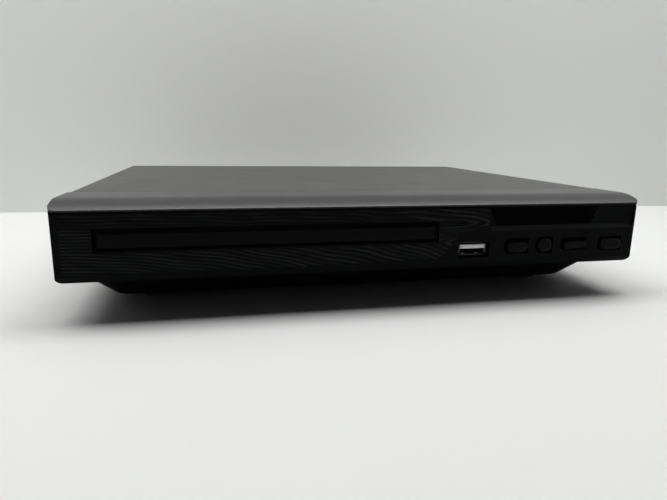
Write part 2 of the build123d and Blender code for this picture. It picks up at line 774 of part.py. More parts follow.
with BuildPart() as clamper_cap:
    post(Plane.XY.offset(cap_low), *disc_place, clamper_neck_radius + 3, 2.6)
    fillet(clamper_cap.edges().group_by(Axis.Z)[-1], 0.8)
    post(Plane.XY.offset(cap_low), *disc_place, clamper_neck_radius - 2, 1.8, mode=Mode.SUBTRACT)
save(clamper_cap, "clamper_cap")

with BuildPart() as clamper_magnet:
    post(Plane.XY.offset(cap_low), *disc_place, clamper_neck_radius - 2.3, 1.6)
    post(Plane.XY.offset(cap_low), *disc_place, 4.0, 1.6, mode=Mode.SUBTRACT)
save(clamper_magnet, "clamper_magnet")

# ---------------------------------------------------------------- loading train

axle_bore = axle_radius + axle_clearance

with BuildPart() as drive_gear:
    slab(Plane.XY.offset(gear_high),
         gear_points(drive_teeth, load_module, 180 / drive_teeth, drive_x, train_y),
         tray_under - gear_high - 0.5)
    post(Plane.XY.offset(gear_low), drive_x, train_y, axle_radius + 0.8, gear_high - gear_low)
    post(Plane.XY.offset(gear_low - 1), drive_x, train_y, axle_bore, 12, mode=Mode.SUBTRACT)
save(drive_gear, "drive_gear")

with BuildPart() as mid_gear:
    slab(Plane.XY.offset(gear_low), gear_points(mid_teeth, load_module, 0, mid_x, train_y), gear_low_height)
    post(Plane.XY.offset(gear_low), mid_x, train_y, pinion_radius - 1, gear_high - gear_low)
    slab(Plane.XY.offset(gear_high), gear_points(pinion_teeth, load_module, 0, mid_x, train_y),
         gear_high_height)
    post(Plane.XY.offset(gear_low - 1), mid_x, train_y, axle_bore, 12, mode=Mode.SUBTRACT)
save(mid_gear, "mid_gear")

belt_z = gear_high + (gear_high_height - belt_thickness) / 2

with BuildPart() as belt_pulley:
    slab(Plane.XY.offset(gear_low),
         gear_points(pinion_teeth, load_module, 180 / pinion_teeth, pulley_x, train_y), gear_low_height)
    post(Plane.XY.offset(gear_low), pulley_x, train_y, pinion_radius - 1, gear_high - gear_low)
    with BuildSketch(Plane.XZ.offset(-train_y)):
        with BuildLine():
            rim = pulley_x + pulley_radius
            Polyline((pulley_x, gear_high), (rim, gear_high), (rim, gear_high + 0.6),
                     (rim - pulley_groove, belt_z - 0.1),
                     (rim - pulley_groove, belt_z + belt_thickness + 0.1),
                     (rim, gear_high + gear_high_height - 0.6), (rim, gear_high + gear_high_height),
                     (pulley_x, gear_high + gear_high_height), close=True)
        make_face()
    revolve(axis=Axis((pulley_x, train_y, 0), (0, 0, 1)))
    post(Plane.XY.offset(gear_low - 1), pulley_x, train_y, axle_bore, 12, mode=Mode.SUBTRACT)
save(belt_pulley, "belt_pulley")

motor_base = frame_floor - motor_height

with BuildPart() as loading_motor:
    post(Plane.XY.offset(motor_base), motor_x, motor_y, motor_radius, motor_height)
    fillet(loading_motor.edges().group_by(Axis.Z)[0], 1.0)
    post(Plane.XY.offset(frame_floor), motor_x, motor_y, 3.0, 1.0)
    post(Plane.XY.offset(motor_base + 2), motor_x, motor_y, motor_shaft_radius + axle_clearance, 20,
         mode=Mode.SUBTRACT)
save(loading_motor, "loading_motor")

with BuildPart() as motor_pulley:
    post(Plane.XY.offset(motor_base + 3), motor_x, motor_y, motor_shaft_radius,
         gear_high + gear_high_height - motor_base - 3)
    post(Plane.XY.offset(gear_high), motor_x, motor_y, motor_pulley_radius, gear_high_height)
    with BuildSketch(Plane.XY.offset(belt_z - 0.1)):
        with Locations((motor_x, motor_y)):
            Circle(motor_pulley_radius)
            Circle(motor_pulley_radius - pulley_groove, mode=Mode.SUBTRACT)
    extrude(amount=belt_thickness + 0.2, mode=Mode.SUBTRACT)
save(motor_pulley, "motor_pulley")


def belt_loop(offset):
    """The hull of the two pulley grooves on a plane, grown by an offset."""
    with BuildSketch(mode=Mode.PRIVATE) as circles:
        with Locations((pulley_x, train_y)):
            Circle(pulley_radius - pulley_groove + offset)
        with Locations((motor_x, motor_y)):
            Circle(motor_pulley_radius - pulley_groove + offset)
    return circles.edges()


with BuildPart() as drive_belt:
    with BuildSketch(Plane.XY.offset(belt_z)):
        make_hull(belt_loop(belt_clearance + belt_thickness))
        make_hull(belt_loop(belt_clearance), mode=Mode.SUBTRACT)
    extrude(amount=belt_thickness)
save(drive_belt, "drive_belt")

slider_half = cam_pin_spread / 2 + cam_travel
slot_reach = cam_pin_radius + cam_clearance
cam_low_z = pivot_z - cam_drop

with BuildPart() as cam_slider:
    slider_x = slot_centre - cam_travel / 2
    box((slider_x - slider_half - 2, slider_x + slider_half + 2), (cam_y, cam_y + cam_thickness),
        (cam_low_z - slot_reach - 2, pivot_z + slot_reach + 2))
    box((slider_x - slider_half - 2, slider_x + slider_half + 2), (cam_y - 5.4, cam_y + 0.1),
        (plate_top + seat_gap, plate_top + seat_gap + 1.2))
    with BuildSketch(facing(cam_y + cam_thickness + 1)):
        for side in (-1, 1):
            low = Vector(slot_centre + side * cam_pin_spread / 2, cam_low_z)
            high = Vector(low.X - cam_travel, pivot_z)
            along = (high - low).normalized()
            with Locations((low + high) / 2):
                slope = along.get_signed_angle(Vector(1, 0, 0), Vector(0, 0, -1))
                SlotCenterToCenter((high - low).length, 2 * slot_reach, rotation=slope)
    extrude(amount=cam_thickness + 2, mode=Mode.SUBTRACT)
save(cam_slider, "cam_slider")

# ---------------------------------------------------------------- traverse deck

deck_top = deck_level + deck_plate_thickness
deck_nose = cam_y + cam_thickness + 1.2
shoulder = disc_y + 9
feed_x = rod_x + 5.0 + sled_module * feed_pinion_teeth / 2
rack_start = lens_y - 11.0
feed_y = rack_start + sled_travel + rack_spare / 2
feed_radius = sled_module * feed_teeth / 2
feed_pinion_radius = sled_module * feed_pinion_teeth / 2
sled_rack_x = feed_x - feed_pinion_radius
mesh_distance = feed_radius + sled_module * sled_motor_teeth / 2
sled_motor_x = feed_x + mesh_distance * cos(radians(mesh_angle))
sled_motor_y = feed_y + mesh_distance * sin(radians(mesh_angle))
sled_motor_top = deck_level - sled_motor_drop
sled_gear_level = sled_motor_top + 0.4
ear_reach = sled_motor_radius + ear_gap
sled_low = deck_level - sled_drop
sled_front = lens_y - sled_nose
sled_back = lens_y + sled_tail
holder_places = [sled_front - rod_holder_length - 0.7, sled_back + sled_travel + 0.7]
lens_level = deck_level + lens_rise
spindle_motor_low = deck_level - spindle_motor_drop

with BuildPart() as deck_plate:
    half = deck_half_width
    nose = deck_nose_half_width
    slab(deck(deck_level), [(-nose, deck_nose), (nose, deck_nose), (nose, shoulder - 6), (half, shoulder),
                            (half, pivot_y + 4), (-half, pivot_y + 4), (-half, shoulder),
                            (-nose, shoulder - 6)], deck_plate_thickness)
    block(deck(deck_level - 1), (-16, 16), (sled_front + 2, sled_back + sled_travel - 1),
          deck_plate_thickness + 2, mode=Mode.SUBTRACT)
    post(deck(deck_level - 1), 0, disc_y, 4.0, deck_plate_thickness + 2, mode=Mode.SUBTRACT)
    for holder_y in holder_places:
        for side in (-1, 1):
            block(deck(rod_level - rod_holder_grip), (side * rod_x - 2.5, side * rod_x + 2.5),
                  (holder_y, holder_y + rod_holder_length), rod_drop + rod_holder_grip)
    axle_drop = rod_drop + sled_rack_drop + 0.6
    post(deck(deck_level - axle_drop), feed_x, feed_y, feed_axle_radius, axle_drop)
    for ear_x, ear_y in ((0, ear_reach), (ear_reach, 0)):
        post(deck(sled_motor_top), sled_motor_x + ear_x, sled_motor_y + ear_y, ear_post_radius,
             sled_motor_drop)
    pivot_place = deck(pivot_z).from_local_coords((0, pivot_y, 0))
    side_plane = Plane(origin=pivot_place, x_dir=(0, 1, 0), z_dir=(1, 0, 0))
    post(side_plane, 0, 0, cam_pin_radius, pivot_bracket[1] - 0.5)
    post(side_plane, 0, 0, cam_pin_radius, -(pivot_bracket[1] - 0.5))
    block(deck(deck_level - 2), (-half + 0.5, half - 0.5), (pivot_y - 3, pivot_y + 3), 6,
          mode=Mode.SUBTRACT)
    block(deck(deck_level), (-half, half), (pivot_y - 3.1, pivot_y + 3.1), deck_plate_thickness)
    for side in (-1, 1):
        pin_root = deck(pivot_z).from_local_coords((side * cam_pin_spread / 2, deck_nose + 0.5, 0))
        nose_plane = Plane(origin=pin_root, x_dir=(1, 0, 0), z_dir=-deck(0).y_dir)
        post(nose_plane, 0, 0, cam_pin_radius, deck_nose - cam_y + 1.0)
        rod_centre = deck(rod_level).from_local_coords((side * rod_x, sled_front, 0))
        rod_plane = Plane(origin=rod_centre, x_dir=(1, 0, 0), z_dir=deck(0).y_dir)
        with BuildSketch(rod_plane):
            Circle(rod_radius + axle_clearance)
        extrude(amount=sled_travel + 60, both=True, mode=Mode.SUBTRACT)
save(deck_plate, "deck_plate")

for side, name in ((-1, "guide_rod_left"), (1, "guide_rod_right")):
    with BuildPart() as guide_rod:
        start = deck(rod_level).from_local_coords((side * rod_x, holder_places[0], 0))
        rod_plane = Plane(origin=start, x_dir=(1, 0, 0), z_dir=deck(0).y_dir)
        post(rod_plane, 0, 0, rod_radius, holder_places[1] + rod_holder_length - holder_places[0])
    save(guide_rod, name)

with BuildPart() as spindle_motor:
    post(deck(spindle_motor_low), 0, disc_y, spindle_motor_radius, deck_level - spindle_motor_low)
    post(deck(spindle_motor_low), 0, disc_y, spindle_boss_radius, deck_top - spindle_motor_low)
    post(deck(spindle_motor_low + 2), 0, disc_y, spindle_radius + axle_clearance, 12, mode=Mode.SUBTRACT)
save(spindle_motor, "spindle_motor")

with BuildPart() as spindle_shaft:
    post(deck(spindle_motor_low + 2.2), 0, disc_y, spindle_radius, turntable_seat - spindle_motor_low - 2.2)
save(spindle_shaft, "spindle_shaft")

with BuildPart() as turntable:
    with BuildSketch(Plane(origin=deck(0).from_local_coords((0, disc_y, 0)), x_dir=(1, 0, 0),
                           z_dir=-deck(0).y_dir)):
        with BuildLine():
            rim_low = turntable_seat - turntable_rim_height
            Polyline((spindle_radius, deck_top + 0.4), (turntable_stem_radius, deck_top + 0.4),
                     (turntable_stem_radius, rim_low - 2.0), (turntable_radius - 1.5, rim_low - 1.2),
                     (turntable_radius, rim_low), (turntable_radius, turntable_seat),
                     (hub_radius, turntable_seat),
                     (hub_radius, turntable_seat + 1.0), (hub_radius - 2.4, turntable_seat + hub_height),
                     (0, turntable_seat + hub_height), (0, turntable_seat), (spindle_radius, turntable_seat),
                     close=True)
        make_face()
    spin_axis = Axis(deck(0).from_local_coords((0, disc_y, 0)), deck(0).z_dir)
    revolve(axis=spin_axis)
save(turntable, "turntable")

arm_edge = rod_x + sled_arm_reach
sled_rack_teeth = round((sled_travel + rack_spare) / (pi * sled_module))

with BuildPart() as pickup_sled:
    block(deck(sled_low), (-13, 13), (sled_front, sled_back), sled_body_height)
    block(deck(sled_low), (12, arm_edge), (sled_front, sled_back), sled_arm_height)
    block(deck(sled_low), (-arm_edge, -12), (sled_front + 5, sled_back - 5), sled_arm_height)
    holder_low = sled_low + sled_body_height - 0.4
    block(deck(holder_low), (-10, 10), (lens_y - 6.5, lens_y + 6.5), lens_level - holder_low)
    fork = rod_radius + 0.1
    block(deck(rod_level - fork), (-arm_edge - 0.5, -rod_x + fork), (sled_front, sled_back), 2 * fork,
          mode=Mode.SUBTRACT)
    bore_start = deck(rod_level).from_local_coords((rod_x, sled_front - 1, 0))
    with BuildSketch(Plane(origin=bore_start, x_dir=(1, 0, 0), z_dir=deck(0).y_dir)):
        Circle(rod_radius + axle_clearance)
    extrude(amount=sled_back - sled_front + 2, mode=Mode.SUBTRACT)
    sled_rack = rack_points(sled_module, sled_rack_x, 1, arm_edge - 0.3, rack_start, sled_rack_teeth, feed_y)
    slab(deck(rod_level - sled_rack_drop), sled_rack, sled_rack_height)
save(pickup_sled, "pickup_sled")

with BuildPart() as pickup_lens:
    post(deck(lens_level), 0, lens_y, lens_radius, lens_height)
    fillet(pickup_lens.edges().sort_by(Axis.Z)[-1], lens_height - 0.4)
save(pickup_lens, "pickup_lens")

with BuildPart() as feed_gear:
    pinion_at = 180 + 180 / feed_pinion_teeth
    slab(deck(rod_level - sled_rack_drop),
         gear_points(feed_pinion_teeth, sled_module, pinion_at, feed_x, feed_y),
         sled_gear_level - rod_level + sled_rack_drop + 0.1)
    slab(deck(sled_gear_level), gear_points(feed_teeth, sled_module, mesh_angle, feed_x, feed_y),
         feed_gear_height)
    post(deck(rod_level - 3), feed_x, feed_y, feed_axle_radius + axle_clearance, 12, mode=Mode.SUBTRACT)
save(feed_gear, "feed_gear")

with BuildPart() as sled_motor:
    post(deck(sled_motor_top - sled_motor_height), sled_motor_x, sled_motor_y, sled_motor_radius,
         sled_motor_height)
    ear_end = ear_reach + ear_post_radius + 0.5
    for ear_x, ear_y in ((ear_width / 2, ear_end), (ear_end, ear_width / 2)):
        block(deck(sled_motor_top - 1), (sled_motor_x - ear_width / 2, sled_motor_x + ear_x),
              (sled_motor_y - ear_width / 2, sled_motor_y + ear_y), 1.0)
    post(deck(sled_motor_top - 6), sled_motor_x, sled_motor_y, sled_shaft_radius + axle_clearance, 12,
         mode=Mode.SUBTRACT)
save(sled_motor, "sled_motor")

with BuildPart() as sled_motor_pinion:
    post(deck(sled_motor_top - 5.8), sled_motor_x, sled_motor_y, sled_shaft_radius, 8.0)
    slab(deck(sled_gear_level), gear_points(sled_motor_teeth, sled_module,
                                            180 + mesh_angle + 180 / sled_motor_teeth,
                                            sled_motor_x, sled_motor_y), feed_gear_height)
save(sled_motor_pinion, "sled_motor_pinion")

# ---------------------------------------------------------------- front board

front_board_x = (bay_left - 3, board_right - 1)
front_board_z = (frame_floor + 0.3, inner_top - 0.6)

with BuildPart() as front_board:
    box(front_board_x, (front_board_y, front_board_y + board), front_board_z)
    with BuildSketch(facing(front_board_y + board + 1)):
        with Locations(*bezel_bosses):
            Circle(boss_hole_radius)
    extrude(amount=board + 2, mode=Mode.SUBTRACT)
save(front_board, "front_board")

with BuildPart() as display_module:
    box((window_left + 4, window_left + 40), (front_board_y - 8, front_board_y),
        (base_height + window_bottom - 0.5, face_top - 0.5))
save(display_module, "display_module")

with BuildPart() as infrared_receiver:
    box((window_left + 42, window_left + 48), (front_board_y - 5, front_board_y),
        (base_height + window_bottom + 1, base_height + window_bottom + 7))
    post(facing(front_board_y - 4), window_left + 45, base_height + window_bottom + 4, 2.2, 2.2)
save(infrared_receiver, "infrared_receiver")

with BuildPart() as key_switches:
    for name in button_outlines:
        with BuildSketch(facing(front_board_y)):
            with Locations(button_middle(name)):
                Rectangle(switch_width, switch_width)
        extrude(amount=switch_height)
        post(facing(front_board_y - switch_height), *button_middle(name), plunger_radius, plunger_height)
save(key_switches, "key_switches")

usb_z = base_height + usb_bottom + usb_hole_height / 2
usb_shell = (13.1, 5.7)
usb_mouth = face_y + 0.9

with BuildPart() as usb_socket:
    with BuildSketch(facing(front_board_y)):
        with Locations((usb_centre, usb_z)):
            Rectangle(*usb_shell)
    extrude(amount=front_board_y - usb_mouth)
    with BuildSketch(facing(front_board_y - 1.0)):
        with Locations((usb_centre, usb_z)):
            Rectangle(usb_shell[0] - 0.6, usb_shell[1] - 0.6)
    extrude(amount=20, mode=Mode.SUBTRACT)
save(usb_socket, "usb_socket")

with BuildPart() as usb_tongue:
    box((usb_centre - 5.7, usb_centre + 5.7), (usb_mouth + 1.3, front_board_y - 1.0),
        (usb_z + 0.35, usb_z + 2.2))
save(usb_tongue, "usb_tongue")

# ---------------------------------------------------------------- power board and main board

with BuildPart() as power_board:
    box(power_board_x, power_board_y, (board_level, board_top))
save(power_board, "power_board")

power_middle = sum(power_board_y) / 2

with BuildPart() as transformer:
    core = (power_board_x[0] + core_setback, power_board_x[0] + core_setback + core_width)
    winding = (core[0] - winding_overhang, core[1] + winding_overhang)
    box(winding, (power_middle - 10, power_middle + 10), (board_top, board_top + 3))
    box(core, (power_middle - 9, power_middle + 9), (board_top + 3, board_top + 16))
    box(winding, (power_middle - 5.5, power_middle + 5.5), (board_top + 5, board_top + 14))
save(transformer, "transformer")

with BuildPart() as power_capacitors:
    post(Plane.XY.offset(board_top), power_board_x[0] + capacitor_setback, power_middle,
         capacitor_radius, capacitor_height)
    for step in range(3):
        post(Plane.XY.offset(board_top), power_board_x[0] + filter_setback + step * filter_pitch,
             power_middle - filter_radius, filter_radius, filter_height)
    fillet(power_capacitors.edges().group_by(Axis.Z)[-1], 0.8)
save(power_capacitors, "power_capacitors")

inlet_back = power_board_y[1] - 16
inlet_mouth = back_y + 0.5
pin_spread = 8.6

with BuildPart() as mains_inlet:
    box((inlet_centre - inlet_size[0] / 2, inlet_centre + inlet_size[0] / 2), (inlet_back, inlet_mouth),
        (board_top, board_top + inlet_size[1]))
    with BuildSketch(facing(inlet_back + 2.5)):
        with Locations((inlet_centre, inlet_z)):
            SlotCenterToCenter(pin_spread, 8.2)
    extrude(amount=-20, mode=Mode.SUBTRACT)
save(mains_inlet, "mains_inlet")

with BuildPart() as inlet_pins:
    with BuildSketch(facing(inlet_back + 2.5)):
        with Locations((inlet_centre, inlet_z)):
            with GridLocations(pin_spread, 1, 2, 1):
                Circle(1.15)
    extrude(amount=-11)
save(inlet_pins, "inlet_pins")

with BuildPart() as main_board:
    box(main_board_x, main_board_y, (board_level, board_top))
save(main_board, "main_board")

with BuildPart() as decoder_chip:
    chip_x = sum(main_board_x) / 2
    chip_y = sum(main_board_y) / 2
    chip_half = chip_width / 2
    box((chip_x - chip_half, chip_x + chip_half), (chip_y - chip_half, chip_y + chip_half),
        (board_top, board_top + 1.4))
    for fin in range(6):
        fin_x = chip_x - chip_half + 1.0 + 4 * fin
        box((fin_x, fin_x + 1.6), (chip_y - chip_half + 1, chip_y + chip_half - 1),
            (board_top + 1.3, board_top + fin_height))
save(decoder_chip, "decoder_chip")

hdmi_back = main_board_y[1] - 11

with BuildPart() as hdmi_socket:
    box((hdmi_centre - hdmi_size[0] / 2, hdmi_centre + hdmi_size[0] / 2), (hdmi_back, back_y + 0.3),
        (board_top, board_top + hdmi_size[1]))
    with BuildSketch(facing(hdmi_back + 2)):
        with Locations((hdmi_centre, hdmi_z)):
            hole = Rectangle(hdmi_size[0] - 0.8, hdmi_size[1] - 1.0)
            chamfer(hole.vertices().sort_by(Axis.Y)[:2], 1.4)
    extrude(amount=-20, mode=Mode.SUBTRACT)
    box((hdmi_centre - 5.8, hdmi_centre + 5.8), (hdmi_back + 1.5, back_y - 1.2), (hdmi_z - 0.3, hdmi_z + 0.9))
save(hdmi_socket, "hdmi_socket")

jack_front = panel_front - seat_gap

with BuildPart() as jack_block:
    box((jack_places[0] - 6.5, jack_places[2] + 6.5), (jack_front - 14, jack_front),
        (board_top, jack_z + 6))
save(jack_block, "jack_block")

with BuildPart() as jack_barrels:
    stretches = {neck_radius: (jack_front, back_y + barrel_root),
                 barrel_radius: (back_y + barrel_root, back_y + jack_reach)}
    for radius, (near, far) in stretches.items():
        with BuildSketch(facing(near)):
            with Locations(*[(x, jack_z) for x in jack_places]):
                Circle(radius)
                Circle(barrel_radius - barrel_wall, mode=Mode.SUBTRACT)
        extrude(amount=near - far)
save(jack_barrels, "jack_barrels")

for name, jack_x in zip(("jack_insert_yellow", "jack_insert_white", "jack_insert_red"), jack_places):
    with BuildPart() as jack_insert:
        with BuildSketch(facing(jack_front)):
            with Locations((jack_x, jack_z)):
                Circle(barrel_radius - barrel_wall - 0.05)
                Circle(1.7, mode=Mode.SUBTRACT)
        extrude(amount=-(back_y + jack_reach - jack_front - 0.8))
    save(jack_insert, name)

ribbon = 0.4
ribbon_x = (64.0, 80.0)
ribbon_start = front_board_y + board

with BuildPart() as front_ribbon:
    with BuildSketch(Plane.YZ.offset(ribbon_x[0])):
        with BuildLine():
            run = Polyline((ribbon_start + ribbon, 21.0), (ribbon_start + 8, 21.0),
                           (ribbon_start + 20, board_top + ribbon / 2),
                           (main_board_y[0] + 10, board_top + ribbon / 2))
            offset(run, ribbon / 2, side=Side.BOTH)
        make_face()
    extrude(amount=ribbon_x[1] - ribbon_x[0])
save(front_ribbon, "front_ribbon")
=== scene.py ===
"""Looks of a compact black disc player with a motor-driven tray, built around its CAD model.

Sizes in the classes are millimetres; meshes are metres in the CAD frame: +Z up, the front faces -Y,
and the origin is on the ground under the middle of the casing.
"""

import logging
import math
from collections.abc import Callable, Sequence
from dataclasses import dataclass
from enum import Enum

import bmesh
import bpy
import numpy as np
from mathutils import Matrix, Vector


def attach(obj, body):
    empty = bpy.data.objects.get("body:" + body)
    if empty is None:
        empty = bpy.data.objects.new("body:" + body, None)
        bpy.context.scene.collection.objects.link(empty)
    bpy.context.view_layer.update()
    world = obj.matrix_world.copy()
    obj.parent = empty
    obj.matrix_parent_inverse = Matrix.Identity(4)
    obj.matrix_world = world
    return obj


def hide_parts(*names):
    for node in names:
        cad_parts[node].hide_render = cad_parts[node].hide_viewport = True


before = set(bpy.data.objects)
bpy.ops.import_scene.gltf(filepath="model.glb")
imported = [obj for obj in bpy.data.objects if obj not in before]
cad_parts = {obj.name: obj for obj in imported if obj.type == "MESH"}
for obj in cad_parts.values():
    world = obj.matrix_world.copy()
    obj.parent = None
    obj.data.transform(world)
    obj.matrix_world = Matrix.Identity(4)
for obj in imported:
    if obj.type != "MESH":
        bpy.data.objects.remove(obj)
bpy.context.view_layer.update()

LOG = logging.getLogger("disc_player")
MM = 0.001
Colour = tuple[float, float, float]
Point = tuple[float, float, float]
Spot = tuple[float, float]
Piece = bpy.types.Object
Tree = bpy.types.NodeTree
PALE: Colour = (0.80, 0.81, 0.80)  # the background, where nothing of the stage shows


class Body(Enum):
    """The bodies of the CAD model that the scene's own pieces ride on."""

    FRAME = "frame"
    DECK = "deck"
    SPINDLE = "spindle"
    SLED = "sled"
    TRAY = "tray_carriage"
    EJECT = "eject_key"
    PLAY = "play_key"
    STOP = "stop_key"
    POWER = "power_key"


class Facing(Enum):
    """Directions that a round or flat piece can face."""

    RIGHT = (1.0, 0.0, 0.0)
    LEFT = (-1.0, 0.0, 0.0)
    BACK = (0.0, 1.0, 0.0)
    FRONT = (0.0, -1.0, 0.0)
    UP = (0.0, 0.0, 1.0)
    DOWN = (0.0, 0.0, -1.0)


class Lay(Enum):
    """The way a finish's fine lines run, as the stretch of its noise along X, Y and Z."""

    EVEN = (1.0, 1.0, 1.0)
    ALONG_X = (0.02, 1.0, 1.0)
    ALONG_Y = (1.0, 0.02, 1.0)
    ALONG_Z = (1.0, 1.0, 0.02)


# ---------------------------------------------------------------- shared shader effects


class Effects:
    """Shader node groups that more than one finish uses. Each is built once."""

    NOISE_RANGE = (0.3, 0.7)  # where most values of a noise texture lie
    TRACK_DISORDER = 0.55  # 0 is a square grid
    TRACK_EDGE = (0.10, 0.07)  # distances from a track's middle where it ends and where it is full

    def __init__(self) -> None:
        """Start with no group built."""
        self.groups: dict[str, Tree] = {}

    def _start(self, name: str, inputs: dict[str, float], outputs: dict[str, str]) -> Tree:
        """Start a node group.

        Args:
            name: the group's name.
            inputs: default value of each number that it takes.
            outputs: socket type of each result that it gives.

        Returns:
            The group with its sockets and nothing between them.
        """
        tree = bpy.data.node_groups.new(name, "ShaderNodeTree")
        for label, value in inputs.items():
            socket = tree.interface.new_socket(label, in_out="INPUT", socket_type="NodeSocketFloat")
            socket.default_value = value
        for label, kind in outputs.items():
            tree.interface.new_socket(label, in_out="OUTPUT", socket_type=kind)
        tree.nodes.new("NodeGroupInput").name = "in"
        tree.nodes.new("NodeGroupOutput").name = "out"
        self.groups[name] = tree
        return tree

    def _noise(self, tree: Tree, stretch: Sequence[float], detail: float) -> bpy.types.Node:
        """Add a noise texture on the piece's own coordinates to a group.

        Args:
            tree: the group, which has an input named Scale.
            stretch: stretch of the coordinates along each axis.
            detail: octaves of the noise.

        Returns:
            The noise node.
        """
        coords = tree.nodes.new("ShaderNodeTexCoord")
        mapping = tree.nodes.new("ShaderNodeMapping")
        mapping.inputs["Scale"].default_value = stretch
        noise = tree.nodes.new("ShaderNodeTexNoise")
        noise.inputs["Detail"].default_value = detail
        tree.links.new(coords.outputs["Object"], mapping.inputs["Vector"])
        tree.links.new(mapping.outputs["Vector"], noise.inputs["Vector"])
        tree.links.new(tree.nodes["in"].outputs["Scale"], noise.inputs["Scale"])
        return noise

    def grain(self, lay: Lay) -> Tree:
        """The fine grain of a moulded, painted or brushed surface, as a bumped normal and a mask.

        Args:
            lay: the way its lines run.

        Returns:
            A group with Scale and Depth in, and Normal and Mask out.
        """
        name = f"grain_{lay.name.lower()}"
        if name in self.groups:
            return self.groups[name]
        tree = self._start(name, {"Scale": 2000.0, "Depth": 0.00001},
                           {"Normal": "NodeSocketVector", "Mask": "NodeSocketFloat"})
        noise = self._noise(tree, lay.value, 3.0)
        bump = tree.nodes.new("ShaderNodeBump")
        tree.links.new(noise.outputs["Fac"], bump.inputs["Height"])
        tree.links.new(tree.nodes["in"].outputs["Depth"], bump.inputs["Distance"])
        tree.links.new(bump.outputs["Normal"], tree.nodes["out"].inputs["Normal"])
        tree.links.new(noise.outputs["Fac"], tree.nodes["out"].inputs["Mask"])
        return tree

    def patches(self) -> Tree:
        """Broad soft patches of uneven gloss and handling marks.

        Returns:
            A group with Scale, Low and High in, and Value out.
        """
        if "patches" in self.groups:
            return self.groups["patches"]
        tree = self._start("patches", {"Scale": 30.0, "Low": 0.0, "High": 1.0},
                           {"Value": "NodeSocketFloat"})
        noise = self._noise(tree, Lay.EVEN.value, 2.0)
        spread = tree.nodes.new("ShaderNodeMapRange")
        spread.inputs["From Min"].default_value, spread.inputs["From Max"].default_value = self.NOISE_RANGE
        tree.links.new(noise.outputs["Fac"], spread.inputs["Value"])
        tree.links.new(tree.nodes["in"].outputs["Low"], spread.inputs["To Min"])
        tree.links.new(tree.nodes["in"].outputs["High"], spread.inputs["To Max"])
        tree.links.new(spread.outputs["Result"], tree.nodes["out"].inputs["Value"])
        return tree

    def dust(self) -> Tree:
        """Thin dust that settles on what faces up.

        Returns:
            A group with Amount and Scale in, and Mask out.
        """
        if "dust" in self.groups:
            return self.groups["dust"]
        tree = self._start("dust", {"Scale": 900.0, "Amount": 0.1}, {"Mask": "NodeSocketFloat"})
        noise = self._noise(tree, Lay.EVEN.value, 4.0)
        geometry = tree.nodes.new("ShaderNodeNewGeometry")
        split = tree.nodes.new("ShaderNodeSeparateXYZ")
        facing = tree.nodes.new("ShaderNodeMath")
        facing.operation = "MULTIPLY"
        facing.use_clamp = True
        amount = tree.nodes.new("ShaderNodeMath")
        amount.operation = "MULTIPLY"
        tree.links.new(geometry.outputs["Normal"], split.inputs["Vector"])
        tree.links.new(split.outputs["Z"], facing.inputs[0])
        tree.links.new(noise.outputs["Fac"], facing.inputs[1])
        tree.links.new(facing.outputs["Value"], amount.inputs[0])
        tree.links.new(tree.nodes["in"].outputs["Amount"], amount.inputs[1])
        tree.links.new(amount.outputs["Value"], tree.nodes["out"].inputs["Mask"])
        return tree

    def level(self) -> Tree:
        """A soft step up the piece.

        Returns:
            A group with the heights Low and High, in metres, in, and Mask out.
        """
        if "level" in self.groups:
            return self.groups["level"]
        tree = self._start("level", {"Low": 0.0, "High": 1.0}, {"Mask": "NodeSocketFloat"})
        coords = tree.nodes.new("ShaderNodeTexCoord")
        split = tree.nodes.new("ShaderNodeSeparateXYZ")
        spread = tree.nodes.new("ShaderNodeMapRange")
        tree.links.new(coords.outputs["Object"], split.inputs["Vector"])
        tree.links.new(split.outputs["Z"], spread.inputs["Value"])
        tree.links.new(tree.nodes["in"].outputs["Low"], spread.inputs["From Min"])
        tree.links.new(tree.nodes["in"].outputs["High"], spread.inputs["From Max"])
        tree.links.new(spread.outputs["Result"], tree.nodes["out"].inputs["Mask"])
        return tree

    def tracks(self) -> Tree:
        """The copper tracks under a board's varnish.

        Returns:
            A group with Scale in, and Mask out.
        """
        if "tracks" in self.groups:
            return self.groups["tracks"]
        tree = self._start("tracks", {"Scale": 260.0}, {"Mask": "NodeSocketFloat"})
        coords = tree.nodes.new("ShaderNodeTexCoord")
        cells = tree.nodes.new("ShaderNodeTexVoronoi")
        cells.feature = "DISTANCE_TO_EDGE"
        cells.inputs["Randomness"].default_value = self.TRACK_DISORDER
        edge = tree.nodes.new("ShaderNodeMapRange")
        edge.inputs["From Min"].default_value, edge.inputs["From Max"].default_value = self.TRACK_EDGE
        tree.links.new(coords.outputs["Object"], cells.inputs["Vector"])
        tree.links.new(tree.nodes["in"].outputs["Scale"], cells.inputs["Scale"])
        tree.links.new(cells.outputs["Distance"], edge.inputs["Value"])
        tree.links.new(edge.outputs["Result"], tree.nodes["out"].inputs["Mask"])
        return tree


EFFECTS = Effects()


# ---------------------------------------------------------------- finishes


class ColourMix:
    """A colour mix node, with its colour sockets by plain names."""

    FIRST, SECOND, RESULT = 6, 7, 2  # the colour sockets among those of every type

    def __init__(self, tree: Tree, first: Colour, second: Colour) -> None:
        """Add the node to a material.

        Args:
            tree: the material's nodes.
            first: colour at factor 0.
            second: colour at factor 1.
        """
        node = tree.nodes.new("ShaderNodeMix")
        node.data_type = "RGBA"
        self.factor = node.inputs[0]
        self.first = node.inputs[self.FIRST]
        self.second = node.inputs[self.SECOND]
        self.result = node.outputs[self.RESULT]
        self.first.default_value = (*first, 1.0)
        self.second.default_value = (*second, 1.0)


def scaled(colour: Colour, share: float) -> Colour:
    """A colour with each channel times a share, kept under 1."""
    return tuple(min(channel * share, 1.0) for channel in colour)


